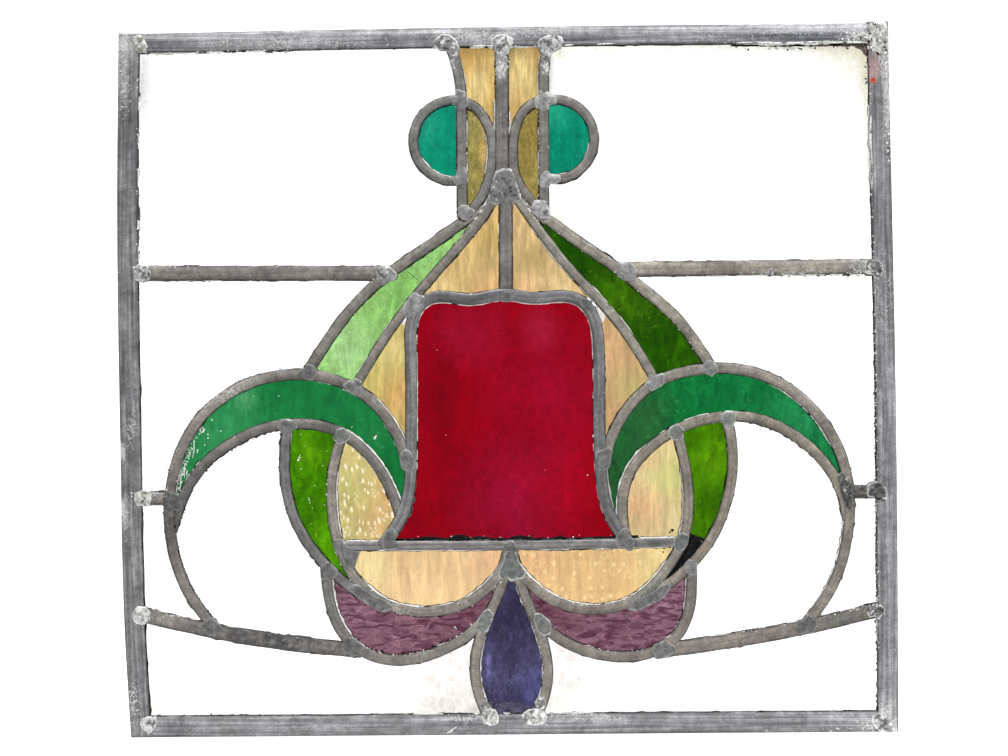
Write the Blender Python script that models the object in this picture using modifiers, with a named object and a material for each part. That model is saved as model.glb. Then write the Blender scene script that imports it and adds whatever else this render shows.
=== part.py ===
"""Leaded light: a small stained glass window panel, 1:1 in metres.

The panel stands upright in the XZ plane, +Z up, its front face towards -Y.
The origin is the middle of the underside of the bottom border came, half way
through its thickness.

Lead: H-section cames swept along the cutline, a closed-back border came all
round.  Glass: one flat sheet cut along the hearts of the cames, so every pane
runs into its channels with a small clearance.  The cutline is the glazier's
full-size drawing: a half-millimetre grid, squares counted across from the left
and down from the top, drawn a little off level.
"""
import math

import bmesh
import bpy
import numpy as np
from mathutils import Matrix, Vector

# ----------------------------------------------------------------- sizes (m)
MM = 0.001
GRID = 0.5 * MM            # one square of the cutline drawing
MID_COL = 514.5            # the column over the middle of the bottom came
BASE_ROW = 733.65          # the row of the panel's underside at that column
TILT = math.radians(0.438)  # how far the drawing is off level

CAME_DEPTH = 5.4 * MM      # over both leaves
LEAF = 1.2 * MM            # leaf thickness
HEART = 1.6 * MM           # heart (web) thickness
GLASS = 2.4 * MM           # sheet thickness
CLEAR = 0.3 * MM           # clearance between neighbouring pieces
BORDER_WALL = 2.6 * MM     # closed outer edge of the border came
REACH = 1.0 * MM           # how far the glass is cut past a came's own end
STEP = 0.02 * MM           # soldered cames differ this much in depth
CHORD = 0.64 * MM          # how far a faceted bend may leave the true curve

W_BORDER = 20.6            # widths over the leaf, in grid squares
W_CENTRE = 13.8
W_CROSS = 14.8
W_SLOPE = 14.8
W_SURROUND = 12.0
W_ARCH = 11.0
W_INNER_ARCH = 10.6
W_BLADE = 11.2
W_BLADE_INNER = 9.6
W_STEM = 10.6
W_RING = 9.6
W_CUP = 10.4
W_LEAF = 10.4
W_PETAL = 11.0
W_DROP = 10.4
W_BAR = 9.6
W_STUB = 13.4

CHANNEL = CAME_DEPTH - 2 * LEAF


def ring(cx, cy, r, a0, a1, n=9):
    """Points on a circle of the cutline, angles clockwise from the right."""
    return [(cx + r * math.cos(math.radians(a)), cy + r * math.sin(math.radians(a)))
            for a in np.linspace(a0, a1, n)]


# ------------------------------------------------------------- the cutline
# name: (width, turning points of the centreline, in grid squares)
LINES = {
    "border_left": (W_BORDER, [(142.5, 742), (136, 640), (131.5, 465), (128, 220), (129.5, 34)]),
    "border_right": (W_BORDER, [(887.5, 738), (885, 400), (881, 200), (877, 22)]),
    "border_top": (W_BORDER - 1.0, [(124, 44.5), (335, 40), (605, 36), (882, 33.5)]),
    "border_bottom": (W_BORDER, [(137, 726.3), (892, 720.6)]),
    "centre_upper": (W_CENTRE, [(501.7, 36), (502, 185)]),
    "centre_lower": (W_CENTRE, [(505.5, 190), (506, 296)]),
    "stem_left": (W_STEM, [(445, 35), (455, 60), (461, 92), (461.5, 115), (462.5, 218)]),
    "stem_right": (W_STEM, [(551, 35), (544.5, 62), (543.5, 92), (543.6, 120), (544, 216)]),
    "ring_left": (W_RING, ring(454, 141.2, 40.5, 78, 260) + [
        (461, 101.3), (474, 107), (484, 118.5), (490.6, 135), (492.3, 155),
        (490, 174), (481.5, 197), (466, 217)]),
    "ring_right": (W_RING, ring(554, 139.7, 40, 104.5, -80) + [
        (546, 100.8), (531, 105), (519.5, 118), (513.8, 137), (512.9, 155),
        (515, 174), (525, 193), (542, 213)]),
    "blade_inner_left": (W_BLADE_INNER, [(501, 184), (490, 205.5), (472, 231), (440, 268),
                                         (406, 309), (385, 338), (354, 389.5)]),
    "blade_inner_right": (W_BLADE_INNER, [(511, 184), (519, 201), (531, 219), (566, 265),
                                          (593, 294), (622, 328), (656, 382)]),
    "blade_outer_left": (W_BLADE, [(484, 209), (461, 223.5), (440, 238.5), (413, 257),
                                   (372, 288), (342, 321), (306, 375)]),
    "blade_outer_right": (W_BLADE, [(523, 205.5), (548, 220.5), (584, 246), (615, 267),
                                    (644, 290), (672, 314), (713, 371)]),
    "cross_left": (W_CROSS, [(126, 273.5), (391, 273.5)]),
    "cross_right": (W_CROSS, [(619, 269.7), (887, 266.4)]),
    "surround": (W_SURROUND, [(383, 545), (401, 518), (410, 483), (411.3, 440), (411, 350),
                              (413.4, 318), (422, 303.5), (437, 297), (470, 299.5),
                              (505, 294.6), (535, 298.3), (563, 296.2), (581, 301.5),
                              (593, 317), (598.3, 345), (599, 420), (601, 470),
                              (612, 519), (630, 545)]),
    "base_bar": (W_BAR, [(339, 545.8), (400, 545.4), (560, 544.5), (683, 541.6)]),
    "outer_arch_left": (W_ARCH, [(407.5, 470), (404, 452), (394, 429), (367, 397), (331, 379),
                                 (285, 375), (240, 387.5), (207, 411.5), (182, 449),
                                 (171.5, 488), (170, 520), (177, 563), (192, 597), (216, 628)]),
    "outer_arch_right": (W_ARCH, [(603.5, 466), (608, 447), (621, 418), (655, 383), (695, 370),
                                  (740, 369.6), (780, 383.5), (814, 411), (838, 449),
                                  (848.3, 488), (847.6, 530), (839, 568), (822, 602),
                                  (801, 628)]),
    "stub_left": (W_STUB, [(128, 498), (172, 498)]),
    "stub_right": (W_STUB, [(848, 491.5), (889, 491.5)]),
    "inner_arch_left": (W_INNER_ARCH, [(400, 514), (387, 481.5), (374, 461), (351, 439),
                                       (322, 426), (293, 423.8), (262, 429), (233.5, 442),
                                       (204, 465), (186, 492), (172.5, 531)]),
    "inner_arch_right": (W_INNER_ARCH, [(624.5, 535), (622.5, 498), (633, 467), (653, 445),
                                        (684, 426), (720, 417), (754, 418), (790, 433),
                                        (821, 459), (838, 485), (847.5, 520)]),
    "cup_left": (W_CUP, [(343, 433), (334, 465), (332, 505), (339, 545), (357, 580),
                         (389, 605), (426, 611.5), (460, 605.5), (486, 589), (501, 571),
                         (507.5, 551.2)]),
    "cup_right": (W_CUP, [(676, 430), (685, 466), (688.2, 500), (683, 538), (666, 569),
                          (638, 597), (600, 609), (560, 603), (533, 586), (518, 569),
                          (512.5, 551.2)]),
    "leaf_left": (W_LEAF, [(287.5, 424), (284.8, 460), (289, 500), (305, 538), (330, 569),
                           (360, 593), (388, 606)]),
    "leaf_right": (W_LEAF, [(726.5, 416.5), (732, 450), (730, 486), (715, 531), (690, 565),
                            (657, 590), (630, 601)]),
    "petal_left": (W_PETAL, [(326, 564), (329, 594), (338, 624), (356, 646), (379, 657.5),
                             (404, 659.5), (438, 651.5), (468, 634.5), (486.5, 617)]),
    "petal_right": (W_PETAL, [(691, 563), (690.5, 598), (681, 629), (658, 649), (625, 656.5),
                              (591, 652), (563, 640.5), (537, 621)]),
    "slope_left": (W_SLOPE, [(131, 611.5), (209, 629.5), (280, 641.8), (362, 650)]),
    "slope_right": (W_SLOPE, [(656, 651), (736, 639.5), (810, 625.5), (891, 606)]),
    "drop_left": (W_DROP, [(509, 560), (499, 592), (484, 626), (475.3, 663), (480, 697),
                           (495, 728)]),
    "drop_right": (W_DROP, [(511.5, 560), (523, 591), (539.5, 631), (547.8, 670), (544, 697),
                            (531, 728)]),
}
# where the flat solder plate joins the two centre cames: corners on the cutline
PLATE = [(496, 171), (511, 171), (519.5, 204), (492.5, 204)]
PLATE_PROUD = 0.5 * MM

# node: the lines soldered together in it, then the nodes whose cames run through
CAMES = {
    "border_came_left": (["border_left"], []),
    "border_came_right": (["border_right"], []),
    "border_came_top": (["border_top"], ["border_left", "border_right"]),
    "border_came_bottom": (["border_bottom"], ["border_left", "border_right"]),
    "came_centre": (["centre_upper", "centre_lower"], ["border_top", "surround"]),
    "came_stem_ring_left": (["stem_left", "ring_left"],
                            ["border_top", "centre_upper", "plate", "blade_inner_left"]),
    "came_stem_ring_right": (["stem_right", "ring_right"],
                             ["border_top", "centre_upper", "plate", "blade_inner_right"]),
    "came_inner_blade_left": (["blade_inner_left"], ["plate", "outer_arch_left"]),
    "came_inner_blade_right": (["blade_inner_right"], ["plate", "outer_arch_right"]),
    "came_crossbar_blade_left": (["cross_left", "blade_outer_left"],
                                 ["border_left", "stem_left", "ring_left",
                                  "blade_inner_left", "outer_arch_left"]),
    "came_crossbar_blade_right": (["cross_right", "blade_outer_right"],
                                  ["border_right", "stem_right", "ring_right",
                                   "blade_inner_right", "outer_arch_right"]),
    "came_flower_surround": (["surround"],
                             ["base_bar", "blade_inner_left", "blade_inner_right"]),
    "came_base_bar": (["base_bar"], ["cup_left", "cup_right"]),
    "came_outer_arch_left": (["outer_arch_left", "stub_left"],
                             ["border_left", "surround", "slope_left"]),
    "came_outer_arch_right": (["outer_arch_right", "stub_right"],
                              ["border_right", "surround", "slope_right"]),
    "came_inner_arch_left": (["inner_arch_left"], ["surround", "outer_arch_left"]),
    "came_inner_arch_right": (["inner_arch_right"],
                              ["surround", "outer_arch_right", "base_bar"]),
    "came_cup_left": (["cup_left"], ["inner_arch_left"]),
    "came_cup_right": (["cup_right"], ["inner_arch_right", "cup_left"]),
    "came_leaf_left": (["leaf_left"], ["inner_arch_left", "cup_left"]),
    "came_leaf_right": (["leaf_right"], ["inner_arch_right", "cup_right"]),
    "came_petal_left": (["petal_left", "slope_left"],
                        ["border_left", "leaf_left", "drop_left"]),
    "came_petal_right": (["petal_right", "slope_right"],
                         ["border_right", "leaf_right", "drop_right"]),
    "came_drop": (["drop_left", "drop_right"], ["cup_left", "cup_right", "border_bottom"]),
}

# pane: a grid square that lies in it, and its glass
PANES = {
    "clear_pane_top_left": ((280, 150), "clear"),
    "clear_pane_top_right": ((720, 150), "clear"),
    "clear_pane_middle_left": ((220, 335), "clear"),
    "clear_pane_middle_right": ((800, 320), "clear"),
    "clear_pane_side_left": ((154, 560), "clear"),
    "clear_pane_side_right": ((866, 560), "clear"),
    "clear_pane_oval_left": ((240, 520), "clear"),
    "clear_pane_oval_right": ((780, 520), "clear"),
    "clear_pane_bottom_left": ((250, 690), "clear"),
    "clear_pane_bottom_right": ((750, 680), "clear"),
    "amber_stem_pane_left": ((479, 75), "amber"),
    "amber_stem_pane_right": ((524, 75), "amber"),
    "olive_lens_pane_left": ((477, 150), "olive"),
    "olive_lens_pane_right": ((529, 150), "olive"),
    "teal_pane_left": ((438, 140), "teal"),
    "teal_pane_right": ((570, 140), "teal"),
    "amber_triangle_pane_left": ((480, 265), "amber"),
    "amber_triangle_pane_right": ((535, 265), "amber"),
    "green_blade_pane_left": ((385, 310), "light_green"),
    "green_blade_pane_right": ((650, 315), "dark_green"),
    "amber_side_pane_left": ((395, 375), "amber"),
    "amber_side_pane_right": ((615, 375), "amber"),
    "red_flower_pane": ((505, 420), "red"),
    "green_arch_pane_left": ((300, 400), "arch_green"),
    "green_arch_pane_right": ((740, 395), "arch_green"),
    "green_leaf_pane_left": ((308, 480), "leaf_green"),
    "green_leaf_pane_right": ((707, 480), "leaf_green"),
    "amber_teardrop_pane_left": ((365, 510), "amber"),
    "amber_teardrop_pane_right": ((655, 510), "amber"),
    "amber_cup_pane_left": ((430, 575), "amber"),
    "amber_cup_pane_right": ((590, 575), "amber"),
    "mauve_petal_pane_left": ((400, 635), "mauve"),
    "mauve_petal_pane_right": ((610, 635), "mauve"),
    "violet_drop_pane": ((512, 650), "violet"),
    "cement_fill_leaf_tip": ((690, 552), "cement"),
}
# cuts that follow no heart: (half width in squares, points).  The first ends the
# right leaf's glass short of its tip; the others stop panes where two cames close up.
EXTRA_CUTS = [
    (0.6, [(681.5, 532), (694, 537.5), (711.5, 545.5)]),
    (4.0, [(497.5, 130), (497.5, 176)]),
    (4.0, [(507.5, 130), (507.5, 176)]),
    (3.0, [(425, 302), (407, 308)]),
    (3.0, [(581, 300), (599, 304)]),
]

LEAD = ((0.30, 0.30, 0.305), 0.55, 0.85)
COLOURS = {                      # colour, roughness, metallic
    "clear": ((0.86, 0.88, 0.86), 0.12, 0.0),
    "amber": ((0.76, 0.56, 0.27), 0.15, 0.0),
    "olive": ((0.38, 0.31, 0.10), 0.15, 0.0),
    "teal": ((0.01, 0.30, 0.19), 0.12, 0.0),
    "light_green": ((0.29, 0.60, 0.16), 0.12, 0.0),
    "dark_green": ((0.03, 0.16, 0.005), 0.12, 0.0),
    "red": ((0.36, 0.0, 0.012), 0.12, 0.0),
    "arch_green": ((0.01, 0.22, 0.055), 0.12, 0.0),
    "leaf_green": ((0.07, 0.28, 0.003), 0.12, 0.0),
    "mauve": ((0.17, 0.055, 0.10), 0.12, 0.0),
    "violet": ((0.055, 0.05, 0.13), 0.12, 0.0),
    "cement": ((0.01, 0.01, 0.012), 0.9, 0.0),
}


# ------------------------------------------------------------ small helpers
def place(col, row):
    """Cutline square to panel (x, z) in metres, turned level."""
    x, z = (col - MID_COL) * GRID, (BASE_ROW - row) * GRID
    c, s = math.cos(TILT), math.sin(TILT)
    return (x * c + z * s, z * c - x * s)


def spline(points, n=240):
    """Natural cubic spline through the points."""
    p = np.array(points, float)
    if len(p) == 2:
        t = np.linspace(0, 1, n)[:, None]
        return p[0] * (1 - t) + p[1] * t
    t = np.concatenate([[0], np.cumsum(np.linalg.norm(np.diff(p, axis=0), axis=1))])
    m, h = len(p), np.diff(t)
    a, r = np.eye(m), np.zeros((m, 2))
    for i in range(1, m - 1):
        a[i, i - 1:i + 2] = h[i - 1], 2 * (h[i - 1] + h[i]), h[i]
        r[i] = 6 * ((p[i + 1] - p[i]) / h[i] - (p[i] - p[i - 1]) / h[i - 1])
    k = np.linalg.solve(a, r)
    u = np.linspace(0, t[-1], n)
    j = np.clip(np.searchsorted(t, u, side="right") - 1, 0, m - 2)
    hh = h[j][:, None]
    f = ((t[j + 1] - u) / h[j])[:, None]
    g = 1 - f
    return f * p[j] + g * p[j + 1] + ((f ** 3 - f) * k[j] + (g ** 3 - g) * k[j + 1]) * hh ** 2 / 6


def thin(path, tol):
    """Fewest points that stay within tol of the path."""
    if len(path) < 3:
        return [path[0], path[-1]]
    a, b = path[0], path[-1]
    d = (b - a) / max(np.linalg.norm(b - a), 1e-12)
    off = np.abs((path[:, 0] - a[0]) * d[1] - (path[:, 1] - a[1]) * d[0])
    i = int(off.argmax())
    if off[i] <= tol:
        return [a, b]
    return thin(path[:i + 1], tol)[:-1] + thin(path[i:], tol)


def centreline(name):
    width, points = LINES[name]
    path = np.array([place(c, r) for c, r in spline(points)])
    if name == "border_bottom":                      # dead straight and level
        path[:, 1] = width * GRID / 2
    return width * GRID, thin(path, CHORD)


def weld(me):
    bm = bmesh.new()
    bm.from_mesh(me)
    bmesh.ops.remove_doubles(bm, verts=bm.verts, dist=1e-7)
    bmesh.ops.recalc_face_normals(bm, faces=bm.faces)
    bm.to_mesh(me)
    bm.free()


def to_mesh(ob):
    """The object's evaluated mesh as a new object, welded, in its place."""
    dg = bpy.context.evaluated_depsgraph_get()
    me = bpy.data.meshes.new_from_object(ob.evaluated_get(dg), depsgraph=dg)
    me.transform(ob.matrix_world)
    weld(me)
    new = bpy.data.objects.new(ob.name, me)
    bpy.data.objects.remove(ob)
    PARTS.objects.link(new)
    return new


def curve_object(name, splines, closed):
    cu = bpy.data.curves.new(name, "CURVE")
    cu.dimensions = "2D"
    for pts in splines:
        sp = cu.splines.new("POLY")
        sp.points.add(len(pts) - 1)
        for q, (x, z) in zip(sp.points, pts):
            q.co = (x, z, 0, 1)
        sp.use_cyclic_u = closed
    ob = bpy.data.objects.new(name, cu)
    PARTS.objects.link(ob)
    return ob


UPRIGHT = Matrix.Rotation(math.radians(90), 4, "X")   # the drawing plane stood up


def stand(ob):
    ob.matrix_world = UPRIGHT
    bpy.context.view_layer.update()
    return to_mesh(ob)


def sweep(name, path, section):
    """A came: the section drawn in (across, depth), swept along the path."""
    prof = curve_object(name + "_section", [section], True)
    ob = curve_object(name, [path], False)
    ob.data.bevel_mode = "OBJECT"
    ob.data.bevel_object = prof
    ob.data.use_fill_caps = True
    ob = stand(ob)
    bpy.data.objects.remove(prof)
    return ob


def strip(name, path, width, depth):
    """A plain band of the given width along the path, for cutting."""
    ob = curve_object(name, [path], False)
    ob.data.extrude = depth / 2
    ob = stand(ob)
    mod = ob.modifiers.new("band", "SOLIDIFY")
    mod.thickness, mod.offset, mod.use_even_offset = width, 0, True
    ob = to_mesh(ob)
    return ob


def flat(name, outline, depth):
    """A flat plate of the given outline, centred on the panel's mid plane."""
    ob = curve_object(name, [outline], True)
    ob.data.fill_mode = "BOTH"
    ob.data.extrude = depth / 2
    return stand(ob)


def measure(me):
    """Volume of a mesh, and whether it is closed."""
    bm = bmesh.new()
    bm.from_mesh(me)
    closed = len(bm.faces) > 0 and all(len(e.link_faces) == 2 for e in bm.edges)
    vol = bm.calc_volume(signed=True)
    bm.free()
    return vol, closed


def boolean(ob, others, operation):
    """Cut or join one piece at a time; EXACT, or MANIFOLD where EXACT fails."""
    name = ob.name
    for other in others:
        before = measure(ob.data)[0]
        tool = measure(other.data)[0]
        low, high = (0.2 * before, 1.0001 * before) if operation == "DIFFERENCE" \
            else (0.9999 * max(before, tool), 1.0001 * (before + tool))
        for solver in ("EXACT", "MANIFOLD"):
            mod = ob.modifiers.new("cut", "BOOLEAN")
            mod.operation, mod.solver, mod.object = operation, solver, other
            dg = bpy.context.evaluated_depsgraph_get()
            me = bpy.data.meshes.new_from_object(ob.evaluated_get(dg), depsgraph=dg)
            ob.modifiers.remove(mod)
            weld(me)
            vol, closed = measure(me)
            if closed and low <= vol <= high:
                break
        ob.data = me
    ob.name = name
    return ob


def pieces(bm):
    """The separate bodies of a bmesh, as lists of faces."""
    seen, out = set(), []
    for f in bm.faces:
        if f.index in seen:
            continue
        stack, body = [f], []
        seen.add(f.index)
        while stack:
            g = stack.pop()
            body.append(g)
            for e in g.edges:
                for h in e.link_faces:
                    if h.index not in seen:
                        seen.add(h.index)
                        stack.append(h)
        out.append(body)
    return out


def tidy(bm):
    """Drop the needle faces and stray points that cutting leaves."""
    bmesh.ops.dissolve_limit(bm, angle_limit=math.radians(0.05), verts=bm.verts,
                             edges=bm.edges, delimit=set())
    bmesh.ops.remove_doubles(bm, verts=bm.verts, dist=3e-6)
    bmesh.ops.dissolve_degenerate(bm, dist=3e-6, edges=bm.edges)


def body_size(body):
    lo, hi = [1e9] * 3, [-1e9] * 3
    for f in body:
        for v in f.verts:
            for i in range(3):
                lo[i], hi[i] = min(lo[i], v.co[i]), max(hi[i], v.co[i])
    return (hi[0] - lo[0]) + (hi[2] - lo[2])


def keep_largest(ob):
    bm = bmesh.new()
    bm.from_mesh(ob.data)
    bm.faces.ensure_lookup_table()
    bodies = pieces(bm)
    if len(bodies) > 1:
        best = max(bodies, key=body_size)
        bmesh.ops.delete(bm, geom=[f for b in bodies if b is not best for f in b],
                         context="FACES")
    tidy(bm)
    bm.to_mesh(ob.data)
    bm.free()
    return len(bodies)


def paint(ob, colour):
    rgb, rough, metal = colour
    key = "finish_%.2f_%.2f_%.2f_%.2f" % (*rgb, metal)
    mat = bpy.data.materials.get(key)
    if mat is None:
        mat = bpy.data.materials.new(key)
        mat.use_nodes = True
        sh = mat.node_tree.nodes["Principled BSDF"]
        sh.inputs["Base Color"].default_value = (*rgb, 1)
        sh.inputs["Roughness"].default_value = rough
        sh.inputs["Metallic"].default_value = metal
    ob.data.materials.clear()
    ob.data.materials.append(mat)


def h_section(width, thinner=0.0):
    """H-section of a came: two leaves joined by a heart."""
    w, d, c, h = width / 2, CAME_DEPTH / 2 - thinner, CHANNEL / 2 + thinner, HEART / 2
    return [(-w, -d), (w, -d), (w, -c), (h, -c), (h, c), (w, c),
            (w, d), (-w, d), (-w, c), (-h, c), (-h, -c), (-w, -c)]


def border_section(width, side):
    """Border came: open to the glass on one side, closed on the outside."""
    w, d, c = width / 2, CAME_DEPTH / 2, CHANNEL / 2
    wall = -w + BORDER_WALL
    pts = [(-w, -d), (w, -d), (w, -c), (wall, -c), (wall, c), (w, c), (w, d), (-w, d)]
    return [(side * x, y) for x, y in pts]


# ------------------------------------------------------------------- start
for old in list(bpy.data.objects):
    bpy.data.objects.remove(old)
PARTS = bpy.data.collections.new("stained_glass_window")
CUTTERS = bpy.data.collections.new("cutters")
for col in (PARTS, CUTTERS):
    bpy.context.scene.collection.children.link(col)

# ------------------------------------------------------------- the cutters
def longer(path, by):
    """The path carried straight on past both ends."""
    p = [np.array(q) for q in path]
    a, b = p[0] - p[1], p[-1] - p[-2]
    return [p[0] + a / np.linalg.norm(a) * by] + p[1:-1] + [p[-1] + b / np.linalg.norm(b) * by]


ENVELOPE = {}
for line in LINES:
    width, path = centreline(line)
    ENVELOPE[line] = strip("around_" + line, longer(path, CLEAR), width + 2 * CLEAR,
                           4 * CAME_DEPTH)


def grown(corners, by):
    """The plate's outline, every side moved out by the given distance."""
    p = np.array([place(c, r) for c, r in corners])
    mid = p.mean(axis=0)
    out = []
    for i in range(len(p)):
        a, b, c = p[i - 1], p[i], p[(i + 1) % len(p)]
        def line(u, v):
            n = np.array([(v - u)[1], -(v - u)[0]])
            n /= np.linalg.norm(n)
            if np.dot(n, (u + v) / 2 - mid) < 0:
                n = -n
            return n, np.dot(n, u) + by
        (n1, d1), (n2, d2) = line(a, b), line(b, c)
        out.append(tuple(np.linalg.solve(np.array([n1, n2]), np.array([d1, d2]))))
    return out


ENVELOPE["plate"] = flat("around_plate", grown(PLATE, CLEAR), 4 * CAME_DEPTH)

# --------------------------------------------------------------- the cames
SIDE = {"border_left": 1, "border_right": 1, "border_top": 1, "border_bottom": 1}
floor_cut = flat("below_floor", [(-0.3, -0.05), (0.3, -0.05), (0.3, 0.0), (-0.3, 0.0)], 0.05)
ceiling = {}
for node, (lines, through) in CAMES.items():
    solids = []
    for line in lines:
        width, path = centreline(line)
        if line.startswith("border"):
            # the closed wall lies away from the middle of the panel
            a, b = np.array(path[0]), np.array(path[-1])
            left = np.array([-(b - a)[1], (b - a)[0]])
            middle = np.array([0.0, 0.18])
            side = 1 if np.dot(left, middle - a) > 0 else -1
            section = border_section(width, -side)
        else:
            section = h_section(width, STEP * len(solids))
        solids.append(sweep(node + "_" + line, path, section))
    if node == "came_centre":
        plate = flat("plate", grown(PLATE, 0), CAME_DEPTH + 2 * PLATE_PROUD)
        solids.append(plate)
    ob = solids[0]
    if len(solids) > 1:
        ob = boolean(ob, solids[1:], "UNION")
        for other in solids[1:]:
            bpy.data.objects.remove(other)
    cutters = [ENVELOPE[t] for t in through]
    if node in ("border_came_left", "border_came_right"):
        cutters = [floor_cut]
    if cutters:
        ob = boolean(ob, cutters, "DIFFERENCE")
    ob.name = node
    ob.data.name = node
    keep_largest(ob)
    paint(ob, LEAD)

# --------------------------------------------------------------- the glass
left, right = np.array(centreline("border_left")[1]), np.array(centreline("border_right")[1])
top, bottom = np.array(centreline("border_top")[1]), np.array(centreline("border_bottom")[1])


def side_x(path, z):
    p = path[np.argsort(path[:, 1])]
    return float(np.interp(z, p[:, 1], p[:, 0]))


def top_z(x):
    return float(np.interp(x, top[:, 0], top[:, 1]))


low = float(bottom[0, 1])
x0, x1 = side_x(left, low), side_x(right, low)
z0 = top_z(side_x(left, top_z(x0)))
z1 = top_z(side_x(right, top_z(x1)))
xt0, xt1 = side_x(left, z0), side_x(right, z1)
outline = [(x0, low), (x1, low)]
outline += sorted([tuple(p) for p in right if low + 0.004 < p[1] < z1 - 0.004],
                  key=lambda p: p[1])
outline += [(xt1, z1)]
outline += sorted([tuple(p) for p in top if xt0 + 0.004 < p[0] < xt1 - 0.004],
                  key=lambda p: -p[0])
outline += [(xt0, z0)]
outline += sorted([tuple(p) for p in left if low + 0.004 < p[1] < z0 - 0.004],
                  key=lambda p: -p[1])
sheet = flat("sheet", outline, GLASS)
hearts = []
for line in LINES:
    if line.startswith("border"):
        continue
    width, path = centreline(line)
    if line in ("cup_left", "cup_right"):            # carried on to the base bar's heart
        path = list(path) + [np.array(place(510, 544))]
    hearts.append(strip("heart_" + line, longer(path, REACH), HEART + 2 * CLEAR, 4 * GLASS))
for i, (half, pts) in enumerate(EXTRA_CUTS):
    path = thin(np.array([place(c, r) for c, r in spline(pts)]), CHORD)
    hearts.append(strip("stop_%d" % i, path, 2 * half * GRID, 4 * GLASS))
hearts.append(flat("stop_plate", grown(PLATE, CLEAR), 4 * GLASS))
sheet = boolean(sheet, hearts, "DIFFERENCE")
for h in hearts:
    bpy.data.objects.remove(h)

bm = bmesh.new()
bm.from_mesh(sheet.data)
bm.faces.ensure_lookup_table()
bodies = pieces(bm)


def inside(loop, x, z):
    hit = False
    for i in range(len(loop)):
        (xa, za), (xb, zb) = loop[i - 1], loop[i]
        if (za > z) != (zb > z) and x < (xb - xa) * (z - za) / (zb - za) + xa:
            hit = not hit
    return hit


panes = {}
for body in bodies:
    for f in body:
        if f.normal.y < -0.9:                        # its front face
            loop = [(v.co.x, v.co.z) for v in f.verts]
            for pane, ((c, r), _) in PANES.items():
                if inside(loop, *place(c, r)):
                    panes[pane] = body
for pane, (_, glass) in PANES.items():
    body = panes[pane]
    new, index = bmesh.new(), {}
    for f in body:
        for v in f.verts:
            if v.index not in index:
                index[v.index] = new.verts.new(v.co)
    for f in body:
        new.faces.new([index[v.index] for v in f.verts])
    tidy(new)
    bmesh.ops.recalc_face_normals(new, faces=new.faces)
    me = bpy.data.meshes.new(pane)
    new.to_mesh(me)
    new.free()
    ob = bpy.data.objects.new(pane, me)
    PARTS.objects.link(ob)
    paint(ob, COLOURS[glass])
bm.free()
bpy.data.objects.remove(sheet)
bpy.data.objects.remove(floor_cut)

for name, ob in ENVELOPE.items():                    # kept as guides, not built
    PARTS.objects.unlink(ob)
    CUTTERS.objects.link(ob)
    ob.hide_render = True
    ob.display_type = "WIRE"
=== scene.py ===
"""Looks of the leaded light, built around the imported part."""
import bpy
import bmesh
import math
import numpy as np
from mathutils import Matrix, Vector


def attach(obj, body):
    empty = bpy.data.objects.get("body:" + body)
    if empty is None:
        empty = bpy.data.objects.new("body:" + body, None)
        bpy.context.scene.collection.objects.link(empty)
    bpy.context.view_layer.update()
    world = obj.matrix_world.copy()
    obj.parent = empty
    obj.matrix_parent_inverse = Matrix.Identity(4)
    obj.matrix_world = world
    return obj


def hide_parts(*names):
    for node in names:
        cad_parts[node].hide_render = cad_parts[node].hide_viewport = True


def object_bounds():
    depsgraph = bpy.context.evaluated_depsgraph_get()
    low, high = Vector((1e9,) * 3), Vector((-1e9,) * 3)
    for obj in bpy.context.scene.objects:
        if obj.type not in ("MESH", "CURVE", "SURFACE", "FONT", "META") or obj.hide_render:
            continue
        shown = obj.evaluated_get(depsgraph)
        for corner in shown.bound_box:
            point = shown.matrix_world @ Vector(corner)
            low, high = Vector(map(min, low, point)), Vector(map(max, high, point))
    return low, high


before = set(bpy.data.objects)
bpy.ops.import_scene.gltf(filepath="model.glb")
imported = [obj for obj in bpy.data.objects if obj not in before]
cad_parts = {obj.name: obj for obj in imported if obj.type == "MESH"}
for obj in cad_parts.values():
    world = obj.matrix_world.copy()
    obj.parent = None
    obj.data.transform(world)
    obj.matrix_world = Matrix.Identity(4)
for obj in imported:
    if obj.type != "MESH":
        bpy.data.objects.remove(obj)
CAD_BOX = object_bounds()

MM = 0.001
# ------------------------------------------------------------ the part's own sizes
GRID = 0.5 * MM
MID_COL, BASE_ROW = 514.5, 733.65
TILT = math.radians(0.438)
TOP = 2.7 * MM             # face of a leaf, from the middle of the panel
UNDER = 1.5 * MM           # inside of a leaf
HEART = 1.6 * MM
BORDER_WALL = 2.6 * MM
SHEET = 1.2 * MM           # face of the glass, from the middle of the panel
STEP_ALONG = 1.1 * MM

W_BORDER, W_CENTRE, W_CROSS, W_SLOPE, W_SURROUND = 20.6, 13.8, 14.8, 14.8, 12.0
W_ARCH, W_INNER_ARCH, W_BLADE, W_BLADE_INNER = 11.0, 10.6, 11.2, 9.6
W_STEM, W_RING, W_CUP, W_LEAF, W_PETAL, W_DROP, W_BAR, W_STUB = 10.6, 9.6, 10.4, 10.4, 11.0, 10.4, 9.6, 13.4


def ring(cx, cy, r, a0, a1, n=9):
    return [(cx + r * math.cos(math.radians(a)), cy + r * math.sin(math.radians(a)))
            for a in np.linspace(a0, a1, n)]


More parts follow.
